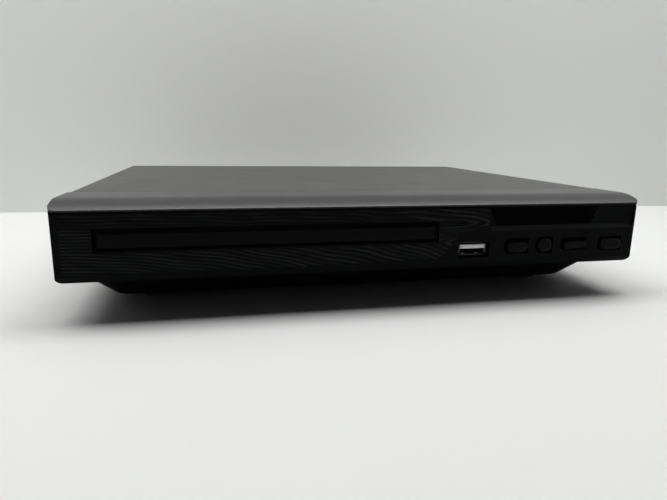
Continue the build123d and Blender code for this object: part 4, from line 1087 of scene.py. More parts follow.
@dataclass
class WaveRelief:
    """The moulded ripples round the tray door: fine and level at left, coarse and slanting at right."""

    left: float = -117.6
    right: float = 50.0
    bottom: float = 17.8
    top: float = 41.0
    face: float = -103.05
    columns: int = 300
    rows: int = 125
    height: float = 0.42
    lift: float = 0.02  # how far the hollows stand off the face
    sunk: float = 0.12  # how far the skin's outer edge sinks into the face
    sinks_over: Spot = (-0.1, 0.25)  # from outside to inside the field
    kept: float = 0.25  # how much of the skin stays outside the field
    fade: float = 0.7  # how far in from the field's edge they reach their full height
    margin: float = 0.3
    bottom_margin: float = 0.4
    bottom_rise: float = 1.0  # how much higher the field's bottom is at its right part
    rises_over: Spot = (-30.0, 25.0)
    slot_x: Spot = (-106.45, 25.95)  # the tray's slot, which the field leaves free
    slot_z: Spot = (26.2, 35.2)
    edge_z: Sequence[float] = (17.0, 19.2, 21.6, 26.7, 30.3, 31.6, 35.4, 39.6, 41.2)
    edge_x: Sequence[float] = (20.0, 25.6, 29.0, 33.6, 34.7, 48.0, 48.6, 48.2, 48.2)
    pitches: Spot = (1.25, 1.95)  # fine at the left, coarse at the right
    coarsens_over: Spot = (0.1, 0.95)  # shares of the width
    level_height: float = 30.7  # where a ripple starts at the left end
    falls: Spot = (14.0, 24.0)  # how far the ripples fall by the right end, and how much more below the door
    fall_bend: float = 1.8
    door_z: Spot = (25.5, 35.0)
    # millimetres of sway, radians per millimetre along X and Z, and radians at the start
    sways: Sequence[tuple[float, float, float, float]] = ((0.45, 0.11, 0.20, 0.0), (0.30, 0.23, -0.33, 1.3))
    least_sway: float = 0.35
    strengths: Spot = (0.72, 0.28)  # mean and swing
    strength_waves: Spot = (0.31, 0.9)  # radians per millimetre along X and Z
    faint: float = 0.6  # how much weaker the ripples are over the door
    faint_z: Spot = (33.5, 36.0)
    faint_x: Spot = (0.0, 35.0)
    sharpness: float = 1.3

    def build(self) -> None:
        """Make the rippled skin and lay it on the face."""
        Bench.clear()
        middle = ((self.left + self.right) / 2 * MM, self.face * MM, (self.bottom + self.top) / 2 * MM)
        bpy.ops.mesh.primitive_grid_add(x_subdivisions=self.columns, y_subdivisions=self.rows, size=1.0,
                                        location=middle, rotation=(math.pi / 2, 0, 0))
        skin = bpy.context.active_object
        skin.name = "wave_relief"
        skin.scale = ((self.right - self.left) * MM, (self.top - self.bottom) * MM, 1.0)
        bpy.ops.object.transform_apply(location=True, rotation=True, scale=True)
        places = np.empty(len(skin.data.vertices) * 3)
        skin.data.vertices.foreach_get("co", places)
        places = places.reshape(-1, 3)
        x, z = places[:, 0] / MM, places[:, 2] / MM
        inside = self._inside(x, z)
        ripple = self._ripple(x, z) * eased(inside, 0.0, self.fade)
        # the ripples' height, which the relief finish turns into painted highlight on the crests and painted
        # shade in the hollows
        crests = skin.data.attributes.new(Ridged.ATTRIBUTE, "FLOAT", "POINT")
        crests.data.foreach_set("value", ripple)
        sunk = self.sunk * (1 - eased(inside, *self.sinks_over))
        places[:, 1] = (self.face - self.height * ripple + sunk - self.lift) * MM
        skin.data.vertices.foreach_set("co", places.ravel())
        Bench.pick(skin, lambda centre, normal: self._inside(centre.x, centre.z) < -self.kept)
        bpy.ops.mesh.delete(type="FACE")
        Bench.done()
        bpy.ops.object.shade_smooth()
        Bench.dress(skin, "relief_black")

    def _inside(self, x: np.ndarray | float, z: np.ndarray | float) -> np.ndarray | float:
        """How far points are inside the rippled field, in millimetres; negative is outside.

        Args:
            x: the points' X.
            z: the points' Z.

        Returns:
            The distance of each.
        """
        edge = np.interp(z, self.edge_z, self.edge_x)
        bottom = z - self.bottom - self.bottom_margin - self.bottom_rise * eased(x, *self.rises_over)
        past = np.minimum.reduce([edge - x, x - self.left - self.margin, self.top - z - self.margin, bottom])
        beside = np.maximum.reduce([self.slot_x[0] - x, x - self.slot_x[1],
                                    self.slot_z[0] - z, z - self.slot_z[1]])
        return np.minimum(past, beside)

    def _ripple(self, x: np.ndarray, z: np.ndarray) -> np.ndarray:
        """The ripples' height as a share of the relief's.

        Args:
            x: the points' X.
            z: the points' Z.

        Returns:
            The share at each, from 0 to 1.
        """
        run = np.clip((x - self.left) / (self.right - self.left), 0.0, 1.0)
        below = 1.0 - eased(z, *self.door_z)
        fine, coarse = self.pitches
        pitch = fine + (coarse - fine) * eased(run, *self.coarsens_over)
        fall = run ** self.fall_bend * (self.falls[0] + self.falls[1] * below)
        sway = sum(reach * np.sin(x * along + z * up + start) for reach, along, up, start in self.sways)
        phase = math.tau * (z - self.level_height + fall + sway * (self.least_sway + run)) / pitch
        mean, swing = self.strengths
        strength = mean + swing * np.sin(x * self.strength_waves[0] + z * self.strength_waves[1])
        strength *= 1.0 - self.faint * eased(z, *self.faint_z) * (1.0 - eased(x, *self.faint_x))
        return (0.5 + 0.5 * np.sin(phase)) ** self.sharpness * strength


@dataclass
class KeyCap:
    """One press button: a crowned cap with a crease across it on its stem, and the rim behind it, near-black
    as painted shade in the gap round the cap.
    """

    name: str
    node: str
    body: Body
    x: Spot
    z: Spot
    left_round: float  # corner radius at the left end
    right_round: float
    crease: float  # height of the crease, from the bottom of the cap, as a share
    crown: float = 0.1
    crease_rise: float = 0.38
    edge_drop: float = 0.55  # how far the cap's edge falls back
    edge_start: float = 0.72  # where that starts, as a share from the middle
    edge_bend: float = 1.5
    tip_lift: float = 0.0  # how far the right end is drawn to a point
    # the rim reaches further at the left and above, where it adds painted shade beside the cap
    hole: Spot = (0.9, 1.2)  # how much further the hole reaches at the left and above
    front: float = -103.75
    neck: float = -100.55
    rim_depth: float = 1.0
    rim_reach: float = 0.85
    stem_radius: float = 2.0
    stem_end: float = -93.4
    stem_wall: float = 0.5
    stem_hollow: float = 0.3
    rings: int = 6
    ring_start: float = 0.01  # width of a new ring, before it is drawn in
    ring_span: float = 0.92  # share of the cap's half height that the rings take up
    corner_steps: int = 8

    def build(self) -> None:
        """Make the cap, its rim and its stem."""
        cap = Bench.plate(self.name, self._outline(0.0), self.front, self.neck - self.front)
        half_x, half_z = (self.x[1] - self.x[0]) / 2, (self.z[1] - self.z[0]) / 2
        middle_x, middle_z = sum(self.x) / 2, sum(self.z) / 2
        step = half_z * self.ring_span / self.rings
        for ring in range(self.rings):
            Bench.inset(self.ring_start)
            left_x, left_z = half_x - ring * step, half_z - ring * step
            Bench.shrink(cap, (middle_x, middle_z), 1 - step / left_x, 1 - step / left_z)
        bpy.ops.mesh.poke()
        Bench.done()
        self._crown(cap)
        # painted shade: the rim is a near-black sheet that darkens the gap round the cap
        rim = Bench.plate(self.name.replace("cap", "rim"), self._outline(self.rim_reach, self.hole),
                          self.neck, self.rim_depth)
        Bench.soften(rim, 0.05, 1)
        Bench.dress(rim, "recess_black", self.body)
        back = self.neck + self.rim_depth
        stem = Bench.rod("stem", (middle_x, (back + self.stem_end) / 2, middle_z), self.stem_radius,
                         self.stem_end - back, Facing.FRONT, 24)
        Bench.side(stem, Facing.BACK)
        Bench.inset(self.stem_wall)
        Bench.raise_up(y=-self.stem_hollow)
        key = Bench.joined(self.name, [cap, stem])
        Bench.soften(key, 0.0, angle=35.0)
        Bench.dress(key, "button_black", self.body, self.node)

    def _outline(self, grow: float, slack: Spot = (0.0, 0.0)) -> list[Spot]:
        """The cap's outline, seen from the front.

        Args:
            grow: how far it is widened all round.
            slack: how far it is widened further at its left end and at its top.

        Returns:
            X and Z of its corners, anticlockwise from the right end's bottom.
        """
        low_x, high_x = self.x[0] - grow - slack[0], self.x[1] + grow
        low_z, high_z = self.z[0] - grow, self.z[1] + grow + slack[1]
        corners = ((high_x, low_z, -90, self.right_round), (high_x, high_z, 0, self.right_round),
                   (low_x, high_z, 90, self.left_round), (low_x, low_z, 180, self.left_round))
        points = []
        for corner_x, corner_z, start, radius in corners:
            radius = radius + grow
            side_x = corner_x - math.copysign(radius, corner_x - (low_x + high_x) / 2)
            side_z = corner_z - math.copysign(radius, corner_z - (low_z + high_z) / 2)
            for step in range(self.corner_steps + 1):
                angle = math.radians(start + step * 90 / self.corner_steps)
                x, z = side_x + radius * math.cos(angle), side_z + radius * math.sin(angle)
                share = max(0.0, (x - low_x) / (high_x - low_x) - 0.5) * 2
                lift = 0.0 if grow else self.tip_lift * share ** 2 * (high_z - z) / (high_z - low_z)
                points.append((x, z + lift))
        return points

    def _crown(self, cap: Piece) -> None:
        """Raise the cap's middle and its crease, and round its edge down.

        Args:
            cap: the cap, with its rings.
        """
        crease = self.z[0] + (self.z[1] - self.z[0]) * self.crease
        half = (self.z[1] - self.z[0]) / 2
        middle = sum(self.z) / 2
        for vertex in cap.data.vertices:
            if vertex.co.y / MM > self.front + 0.01:
                continue
            x, z = vertex.co.x / MM, vertex.co.z / MM
            across = abs(z - middle) / half
            along = max(abs(x - sum(self.x) / 2) - (self.x[1] - self.x[0]) / 2 + half, 0.0) / half
            edge = min(math.hypot(across, along), 1.0)
            ridge = max(0.0, 1.0 - abs(z - crease) / half) * max(0.0, 1.0 - along ** 3)
            past = max(0.0, edge - self.edge_start) / (1.0 - self.edge_start)
            drop = self.edge_drop * past ** self.edge_bend
            vertex.co.y -= (self.crown * (1 - edge ** 2) + self.crease_rise * ridge - drop) * MM


@dataclass
class UsbPort:
    """The USB socket's folded shield with its spring fingers, and its white tongue with four contacts."""

    centre: Spot = (42.15, 22.6)
    width: float = 13.1
    height: float = 5.7
    wall: float = 0.3
    floor: float = 1.0
    mouth: float = -99.6
    back: float = -88.0
    finger_setback: float = 3.0  # from the middle to each spring finger
    finger_half: float = 0.9
    finger_y: Spot = (0.5, 5.0)  # behind the mouth
    finger_thick: float = 0.25
    bow: float = 0.35
    flare: float = -101.2  # front of the side fingers
    side_end: float = 3.0
    side_z: Spot = (-1.7, 2.3)
    side_thick: float = 0.3
    tongue_x: Spot = (36.45, 47.85)
    tongue_z: Spot = (22.95, 24.8)
    tongue_front: float = -101.3
    contact_x: Sequence[float] = (-3.5, -1.0, 1.0, 3.5)
    contact_half: float = 0.5
    contact_ends: Spot = (0.9, 1.5)  # behind the tongue's front and before the shield's back
    contact_z: Spot = (-0.12, 0.05)

    def build(self) -> None:
        """Make the shield and the tongue in place of their plain solids."""
        x, z = self.centre
        low = (x - self.width / 2, self.mouth, z - self.height / 2)
        high = (x + self.width / 2, self.back, z + self.height / 2)
        shield = Bench.block("usb_shield", low, high)
        Bench.side(shield, Facing.FRONT)
        Bench.inset(self.wall)
        Bench.raise_up(y=self.back - self.mouth - self.floor)
        fingers = [self._finger(x + side * self.finger_setback, z + up * (self.height / 2 - self.wall), up)
                   for side in (-1, 1) for up in (-1, 1)]
        fingers += [self._side_finger(x + side * (self.width / 2 - self.wall), side) for side in (-1, 1)]
        shield = Bench.joined("usb_shield", [shield, *fingers])
        Bench.soften(shield, 0.08, 2)
        Bench.dress(shield, "socket_metal", Body.FRAME, "usb_socket")
        under = self.tongue_z[0]
        tongue = Bench.block("usb_contact_tongue", (self.tongue_x[0], self.tongue_front, under),
                             (self.tongue_x[1], self.back - self.floor, self.tongue_z[1]))
        Bench.side(tongue, Facing.FRONT)
        Bench.inset(0.25, 0.2)
        Bench.soften(tongue, 0.12, 2)
        Bench.dress(tongue, "tongue_white", Body.FRAME, "usb_tongue")
        front, back = self.tongue_front + self.contact_ends[0], self.back - self.contact_ends[1]
        contacts = [Bench.block("contact", (x + step - self.contact_half, front, under + self.contact_z[0]),
                                (x + step + self.contact_half, back, under + self.contact_z[1]))
                    for step in self.contact_x]
        strip = Bench.joined("usb_contacts", contacts)
        Bench.soften(strip, 0.05)
        Bench.dress(strip, "pin_brass")

    def _finger(self, x: float, z: float, up: int) -> Piece:
        """A spring finger that bows into the socket from above or below.

        Args:
            x: its middle.
            z: where it leaves the shield.
            up: 1 above and -1 below.

        Returns:
            The finger.
        """
        low, high = sorted((z, z - up * self.finger_thick))
        finger = Bench.block("finger", (x - self.finger_half, self.mouth + self.finger_y[0], low),
                             (x + self.finger_half, self.mouth + self.finger_y[1], high))
        Bench.side(finger, Facing.DOWN if up > 0 else Facing.UP)
        Bench.inset(self.bow)
        Bench.raise_up(z=-up * self.bow)
        return finger

    def _side_finger(self, x: float, side: int) -> Piece:
        """A spring finger that bows into the socket from one side.

        Args:
            x: where it leaves the shield.
            side: 1 at the right and -1 at the left.

        Returns:
            The finger.
        """
        z = self.centre[1]
        low, high = sorted((x, x - side * self.side_thick))
        finger = Bench.block("finger", (low, self.flare, z + self.side_z[0]),
                             (high, self.mouth + self.side_end, z + self.side_z[1]))
        Bench.side(finger, Facing.LEFT if side > 0 else Facing.RIGHT)
        Bench.inset(self.side_thick)
        Bench.raise_up(x=-side * self.side_thick)
        return finger


@dataclass
class TrayDoor:
    """The tray's door: a panel on a seal that is set back and coloured near-black as painted shade, so that
    a dark gap runs round it.
    """

    seal_x: Spot = (-105.9, 25.4)
    seal_z: Spot = (26.6, 34.8)
    seal_y: Spot = (-101.7, -100.96)
    panel_x: Spot = (-104.8, 24.3)
    panel_z: Spot = (27.7, 32.9)
    panel_front: float = -102.55
    face_step: float = 0.2
    overlap: float = 0.1

    def build(self) -> None:
        """Make the door in place of its plain solid, and its seal."""
        # painted shade: the seal is near-black, so that the gap round the door looks dark
        seal = Bench.block("tray_door_seal", (self.seal_x[0], self.seal_y[0], self.seal_z[0]),
                           (self.seal_x[1], self.seal_y[1], self.seal_z[1]))
        Bench.soften(seal, 0.2)
        Bench.dress(seal, "recess_black", Body.TRAY)
        low = (self.panel_x[0], self.panel_front + self.face_step, self.panel_z[0])
        high = (self.panel_x[1], self.seal_y[0] + self.overlap, self.panel_z[1])
        panel = Bench.block("tray_door_panel", low, high)
        Bench.side(panel, Facing.FRONT)
        Bench.raise_up(y=-self.face_step)
        Bench.soften(panel, 0.25, 3)
        Bench.dress(panel, "door_black", Body.TRAY, "tray_door")


@dataclass
class WindowSill:
    """The satin slope under the display window, coloured paler than the bezel as painted light on the slope.
    """

    x: Spot = (49.0, 118.5)
    z: Spot = (30.58, 32.48)
    y: Spot = (-103.07, -102.95)
    lean: float = 0.9

    def build(self) -> None:
        """Lean a thin slab back along the slope."""
        low, high = zip(self.x, self.y, self.z)
        sill = Bench.block("window_sill", low, high)
        Bench.side(sill, Facing.UP)
        bpy.ops.transform.translate(value=(0, self.lean * MM, 0))
        Bench.soften(sill, 0.03, 1)
        Bench.dress(sill, "sill_black")


@dataclass
class FrontControls:
    """The four press buttons, the USB port, the tray's door and the sill under the display window."""

    keys: Sequence[KeyCap] = (
        KeyCap("eject_cap", "eject_button", Body.EJECT, (57.1, 67.0), (20.9, 25.4), 2.2, 1.7, 0.55),
        KeyCap("play_cap", "play_button", Body.PLAY, (72.1, 78.6), (20.5, 26.7), 3.0, 2.7, 0.52),
        KeyCap("stop_cap", "stop_button", Body.STOP, (84.3, 95.6), (21.4, 25.3), 1.9, 1.3, 0.58,
               tip_lift=1.7),
        KeyCap("power_cap", "power_button", Body.POWER, (103.1, 113.2), (21.0, 25.8), 1.8, 1.6, 0.3,
               crease_rise=0.15),
    )

    def build(self) -> None:
        """Make them in that order."""
        for key in self.keys:
            key.build()
        UsbPort().build()
        TrayDoor().build()
        WindowSill().build()


# ---------------------------------------------------------------- casing


@dataclass
class CrossScrew:
    """A pan-head screw with a cross recess, modelled at the origin pointing up."""

    name: str
    radius: float
    rise: float
    shank: float = 1.4
    length: float = 4.0
    # the head's profile, as shares of the radius and of the rise
    head: Sequence[Spot] = ((1.0, 0.0), (1.0, 0.45), (0.86, 0.82), (0.6, 1.0), (0.0, 1.0))
    slot: Spot = (0.62, 0.16)  # half length and half width, as shares of the radius
    slot_floor: float = 0.25  # as a share of the rise

    def build(self) -> Piece:
        """Make the pattern screw.

        Returns:
            The screw, to be copied and then cleared away.
        """
        profile = [(0, -self.length), (self.shank, -self.length), (self.shank, 0)]
        profile += [(self.radius * across, self.rise * up) for across, up in self.head]
        screw = Bench.turned(self.name, profile, (0, 0, 0), Facing.UP, 24)
        arm, width = (self.radius * share for share in self.slot)
        for x, y in ((arm, width), (width, arm)):
            slot = Bench.block("slot", (-x, -y, self.rise * self.slot_floor), (x, y, self.rise + 1))
            Bench.cut(screw, slot)
        Bench.soften(screw, 0.0, angle=35.0)
        return screw


@dataclass
class Foot:
    """A moulded rubber foot: a rolled rim, a ring groove and a sunk screw."""

    radius: float = 9.0
    height: float = 3.0
    well: float = 1.0  # from the pan down to the floor of the screw's well
    places: Sequence[tuple[str, float, float]] = (
        ("front_left", -88.0, -63.25), ("front_right", 88.0, -63.25),
        ("rear_left", -88.0, 77.75), ("rear_right", 88.0, 77.75))

    def build(self) -> None:
        """Make the four feet in place of their plain solids."""
        edge, tall = self.radius, self.height
        profile = [(0, 0), (edge, 0), (edge, tall * 0.55), (edge - 0.15, tall * 0.8),
                   (edge - 0.6, tall * 0.96), (edge - 1.3, tall), (edge - 2.0, tall),
                   (edge - 2.2, tall - 0.35), (edge - 2.7, tall - 0.35), (edge - 2.9, tall),
                   (3.6, tall), (3.3, tall - 0.2), (3.2, self.well), (0, self.well)]
        pattern = Bench.turned("foot", profile, (0, 0, 0), Facing.UP, 40)
        Bench.soften(pattern, 0.0, angle=30.0)
        screw = CrossScrew("foot_screw", 2.5, 1.1, length=0.8).build()
        for label, x, y in self.places:
            foot = Bench.copied(pattern, f"rubber_foot_{label}", (x, y, tall), Facing.DOWN)
            Bench.dress(foot, "foot_rubber", Body.FRAME, f"foot_{label}")
            place = (x, y, tall - self.well)
            Bench.dress(Bench.copied(screw, f"foot_screw_{label}", place, Facing.DOWN, 20), "screw_zinc")
        Bench.away(pattern)
        Bench.away(screw)


@dataclass
class Fasteners:
    """The casing's screws: two in each side of the cover, five in the rear panel and four under the pan."""

    side_x: float = 120.0
    sunk: float = 0.9
    side_places: Sequence[Spot] = ((-40.0, 22.5), (78.0, 22.5))  # Y and Z
    rear_y: float = 95.75
    rear_places: Sequence[Spot] = ((-113.0, 38.5), (-59.0, 39.0), (13.0, 39.0), (113.0, 38.5), (75.0, 33.8))
    under_z: float = 3.0
    under_places: Sequence[Spot] = ((-60.0, -62.0), (60.0, -62.0), (-60.0, 70.0), (60.0, 70.0))

    def build(self) -> None:
        """Sink the side screws in the cover's sides and set the others."""
        screw = CrossScrew("cover_screw", 2.9, 0.9).build()
        placed = []
        for y, z in self.side_places:
            for side, facing in ((-1, Facing.LEFT), (1, Facing.RIGHT)):
                name = f"side_screw_{facing.name.lower()}_{'front' if y < 0 else 'rear'}"
                placed.append((name, (side * (self.side_x - self.sunk), y, z), facing, 35 + y))
        for index, (x, z) in enumerate(self.rear_places):
            placed.append((f"rear_screw_{index}", (x, self.rear_y, z), Facing.BACK, 25 * index))
        for index, (x, y) in enumerate(self.under_places):
            placed.append((f"under_screw_{index}", (x, y, self.under_z), Facing.DOWN, 40 * index))
        for name, place, facing, spin in placed:
            Bench.dress(Bench.copied(screw, name, place, facing, spin), "screw_black")
        Bench.away(screw)


# ---------------------------------------------------------------- inside


class Cluster:
    """Small parts of one place on one body, joined into one piece for each finish."""

    def __init__(self, name: str, body: Body = Body.FRAME) -> None:
        """Start with nothing gathered.

        Args:
            name: first part of the joined pieces' names.
            body: the body that they ride on.
        """
        self.name = name
        self.body = body
        self.gathered: dict[str, list[Piece]] = {}

    def add(self, finish: str, *pieces: Piece) -> None:
        """Gather pieces of one finish."""
        self.gathered.setdefault(finish, []).extend(pieces)

    def close(self, tilt: Matrix | None = None) -> None:
        """Join and dress what was gathered.

        Args:
            tilt: how the whole is turned last, where its body rests tilted.
        """
        for finish, pieces in self.gathered.items():
            piece = Bench.joined(f"{self.name}_{finish}", pieces)
            if tilt:
                piece.data.transform(tilt)
            Bench.dress(piece, finish, self.body)


class SmallParts:
    """Electronic parts, each modelled where it stands on a board that faces up or back."""

    CHIP_GAP = 0.15  # under a chip, and between its side and its legs' feet
    DOT_RADIUS, DOT_INSET, DOT_SUNK, DOT_RISE = 0.45, 1.0, 0.1, 0.02
    LEG_HALF = 0.2  # share of the legs' pitch
    LEG_REACH, LEG_THICK = 1.0, 0.2
    LEG_BENDS = (0.25, 0.15)
    LEG_RISE = 0.4  # share of the chip's height
    CAN_TOP_INSET, CAN_TOP_SUNK, CAN_TOP_RISE = 0.9, 0.1, 0.05
    SCORE_LENGTH = 0.6  # half of it, as a share of the can's radius
    SCORE_HALF = 0.12
    PLUG_PITCH, PLUG_ENDS, PLUG_DEPTH, PLUG_HEIGHT = 2.0, 1.6, 4.6, 5.2
    PLUG_WALL, PLUG_FLOOR = 0.6, 1.0
    NOTCH_HALF, NOTCH_DEPTH = 1.2, 2.2
    PIN_HALF, PIN_ENDS, PIN_TIP, PIN_TAPER = 0.25, (0.2, 0.9), 0.2, 0.12
    RESISTOR_AXIS = 1.2  # height of its middle
    LEAD_RADIUS, LEAD_LENGTH, LEAD_REACH, LEAD_BACK, LEAD_HEIGHT = 0.25, 1.5, 3.9, 0.6, 0.6
    SPECK_HALF = (0.7, 0.6)
    SPECK_HEIGHT = 0.5
    SPECK_END_PLACE, SPECK_END_HALF, SPECK_END_GROWTH = 0.95, 0.28, 0.02

    @staticmethod
    def chip(cluster: Cluster, place: Point, size: Point, legs: int, facing: Facing = Facing.UP) -> None:
        """A flat chip with gull-wing legs along its two long sides.

        Args:
            cluster: what it joins.
            place: the middle of its underside.
            size: its width, depth and height; its legs stand along the width.
            legs: how many legs each side has.
            facing: the way its top faces.
        """
        own = SmallParts
        width, depth, height = size
        body = Bench.block("chip", (-width / 2, -depth / 2, own.CHIP_GAP), (width / 2, depth / 2, height))
        Bench.side(body, Facing.UP)
        Bench.inset(0.25)
        low, high = height - own.DOT_SUNK, height + own.DOT_RISE
        dot = Bench.turned("dot", [(0, low), (own.DOT_RADIUS, low), (own.DOT_RADIUS, high), (0, high)],
                           (own.DOT_INSET - width / 2, own.DOT_INSET - depth / 2, 0), Facing.UP, 12)
        Bench.soften(body, 0.12)
        pitch = width / legs
        half = pitch * own.LEG_HALF
        leg = Bench.block("leg", (-half, 0.0, 0.0), (half, own.LEG_REACH, own.LEG_THICK))
        Bench.side(leg, Facing.FRONT)
        Bench.raise_up(y=-own.LEG_BENDS[0])
        Bench.raise_up(y=-own.LEG_BENDS[1], z=height * own.LEG_RISE)
        for piece, finish in ((body, "chip_black"), (dot, "magnet_grey")):
            cluster.add(finish, Bench.copied(piece, "chip", place, facing))
            Bench.away(piece)
        for index in range(legs):
            along = (index + 0.5) * pitch - width / 2
            for spin, side in ((0, 1), (180, -1)):
                leg_copy = Bench.copied(leg, "leg", (side * along, depth / 2 + own.CHIP_GAP, 0))
                leg_copy.data.transform(Matrix.Rotation(math.radians(spin), 4, "Z"))
                cluster.add("lead_tin", Bench.copied(leg_copy, "leg", place, facing))
                Bench.away(leg_copy)
        Bench.away(leg)

    @staticmethod
    def can(cluster: Cluster, place: Point, radius: float, height: float) -> None:
        """An electrolytic capacitor: a sleeved can with a rolled neck and a scored top.

        Args:
            cluster: what it joins.
            place: the middle of its underside.
            radius: its radius.
            height: its height.
        """
        own = SmallParts
        profile = [(0, 0), (radius - 0.2, 0), (radius, 0.3), (radius, 1.0), (radius - 0.35, 1.4),
                   (radius, 1.8), (radius, height - 0.5), (radius - 0.4, height), (radius - 0.8, height),
                   (0, height)]
        sleeve = Bench.turned("can", profile, place, Facing.UP, 24)
        Bench.soften(sleeve, 0.0)
        inner, low, high = radius - own.CAN_TOP_INSET, height - own.CAN_TOP_SUNK, height + own.CAN_TOP_RISE
        disc = [(0, low), (inner, low), (inner, high), (0, high)]
        top = Bench.turned("can_top", disc, place, Facing.UP, 20)
        x, y, z = place
        length, half = radius * own.SCORE_LENGTH, own.SCORE_HALF
        score = [Bench.block("score", (x - across, y - along, z + height),
                             (x + across, y + along, z + height + half))
                 for across, along in ((length, half), (half, length))]
        cluster.add("capacitor_sleeve", sleeve)
        cluster.add("heatsink_alu", top)
        cluster.add("magnet_grey", *score)

    @staticmethod
    def plug(cluster: Cluster, place: Point, pins: int, spin: float = 0.0) -> None:
        """A white shrouded plug with its row of pins.

        Args:
            cluster: what it joins.
            place: the middle of its underside.
            pins: how many pins it has.
            spin: how far it is turned about its own axis, in degrees.
        """
        own = SmallParts
        width, depth, height = pins * own.PLUG_PITCH + own.PLUG_ENDS, own.PLUG_DEPTH, own.PLUG_HEIGHT
        shell = Bench.block("plug", (-width / 2, -depth / 2, 0), (width / 2, depth / 2, height))
        Bench.side(shell, Facing.UP)
        Bench.inset(own.PLUG_WALL)
        Bench.raise_up(z=own.PLUG_FLOOR - height)
        Bench.cut(shell, Bench.block("notch", (-own.NOTCH_HALF, -depth, height - own.NOTCH_DEPTH),
                                     (own.NOTCH_HALF, 0, height + 1)))
        Bench.soften(shell, 0.15)
        pin = Bench.block("pin", (-own.PIN_HALF, -own.PIN_HALF, own.PIN_ENDS[0]),
                          (own.PIN_HALF, own.PIN_HALF, height - own.PIN_ENDS[1]))
        Bench.side(pin, Facing.UP)
        Bench.inset(own.PIN_TAPER)
        Bench.raise_up(z=own.PIN_TIP)
        cluster.add("plug_white", Bench.copied(shell, "plug", place, Facing.UP, spin))
        for index in range(pins):
            shifted = Bench.copied(pin, "pin", ((index - (pins - 1) / 2) * own.PLUG_PITCH, 0, 0))
            cluster.add("pin_brass", Bench.copied(shifted, "pin", place, Facing.UP, spin))
            Bench.away(shifted)
        Bench.away(pin)
        Bench.away(shell)

    @staticmethod
    def resistor(cluster: Cluster, place: Point, along: Facing) -> None:
        """A small waisted resistor lying on its board, with a lead at each end.

        Args:
            cluster: what it joins.
            place: the point of the board under its middle.
            along: the way that it lies.
        """
        own = SmallParts
        middle = (place[0], place[1], place[2] + own.RESISTOR_AXIS)
        profile = [(0, -3.1), (0.9, -3.0), (1.15, -2.6), (1.15, -2.0), (0.85, -1.5), (0.85, 1.5),
                   (1.15, 2.0), (1.15, 2.6), (0.9, 3.0), (0, 3.1)]
        body = Bench.turned("resistor", profile, middle, along, 16)
        Bench.soften(body, 0.0)
        cluster.add("resistor_tan", body)
        run = Vector(along.value)
        for side in (-1, 1):
            end = Vector(middle) + run * side * own.LEAD_REACH
            lead = Bench.rod("lead", tuple(end - run * side * own.LEAD_BACK), own.LEAD_RADIUS,
                             own.LEAD_LENGTH, along, 8)
            foot = Bench.rod("lead", (end.x, end.y, place[2] + own.LEAD_HEIGHT), own.LEAD_RADIUS,
                             own.LEAD_LENGTH, Facing.UP, 8)
            cluster.add("lead_tin", lead, foot)

    @staticmethod
    def speck(cluster: Cluster, place: Point, facing: Facing = Facing.UP, spin: float = 0.0) -> None:
        """A tiny surface resistor with a tinned cap at each end.

        Args:
            cluster: what it joins.
            place: the middle of its underside.
            facing: the way its top faces.
            spin: how far it is turned about its own axis, in degrees.
        """
        own = SmallParts
        (half_x, half_y), height = own.SPECK_HALF, own.SPECK_HEIGHT
        pieces = [("chip_black", Bench.block("speck", (-half_x, -half_y, 0.0), (half_x, half_y, height)))]
        reach, growth = own.SPECK_END_HALF, own.SPECK_END_GROWTH
        for middle in (-own.SPECK_END_PLACE, own.SPECK_END_PLACE):
            end = Bench.block("speck_end", (middle - reach, -half_y - growth, 0.0),
                              (middle + reach, half_y + growth, height + growth))
            pieces.append(("lead_tin", end))
        for finish, piece in pieces:
            Bench.soften(piece, 0.08, 1)
            cluster.add(finish, Bench.copied(piece, piece.name, place, facing, spin))
            Bench.away(piece)

    @staticmethod
    def screws(cluster: Cluster, pattern: CrossScrew, places: Sequence[Point], spin: float,
               facing: Facing = Facing.UP) -> None:
        """Screws of one size, each turned further than the one before.

        Args:
            cluster: what they join.
            pattern: the screw.
            places: where the underside of each head is.
            spin: how much further each is turned, in degrees.
            facing: the way their heads point.
        """
        screw = pattern.build()
        for index, place in enumerate(places):
            cluster.add("screw_zinc", Bench.copied(screw, pattern.name, place, facing, spin * index))
        Bench.away(screw)


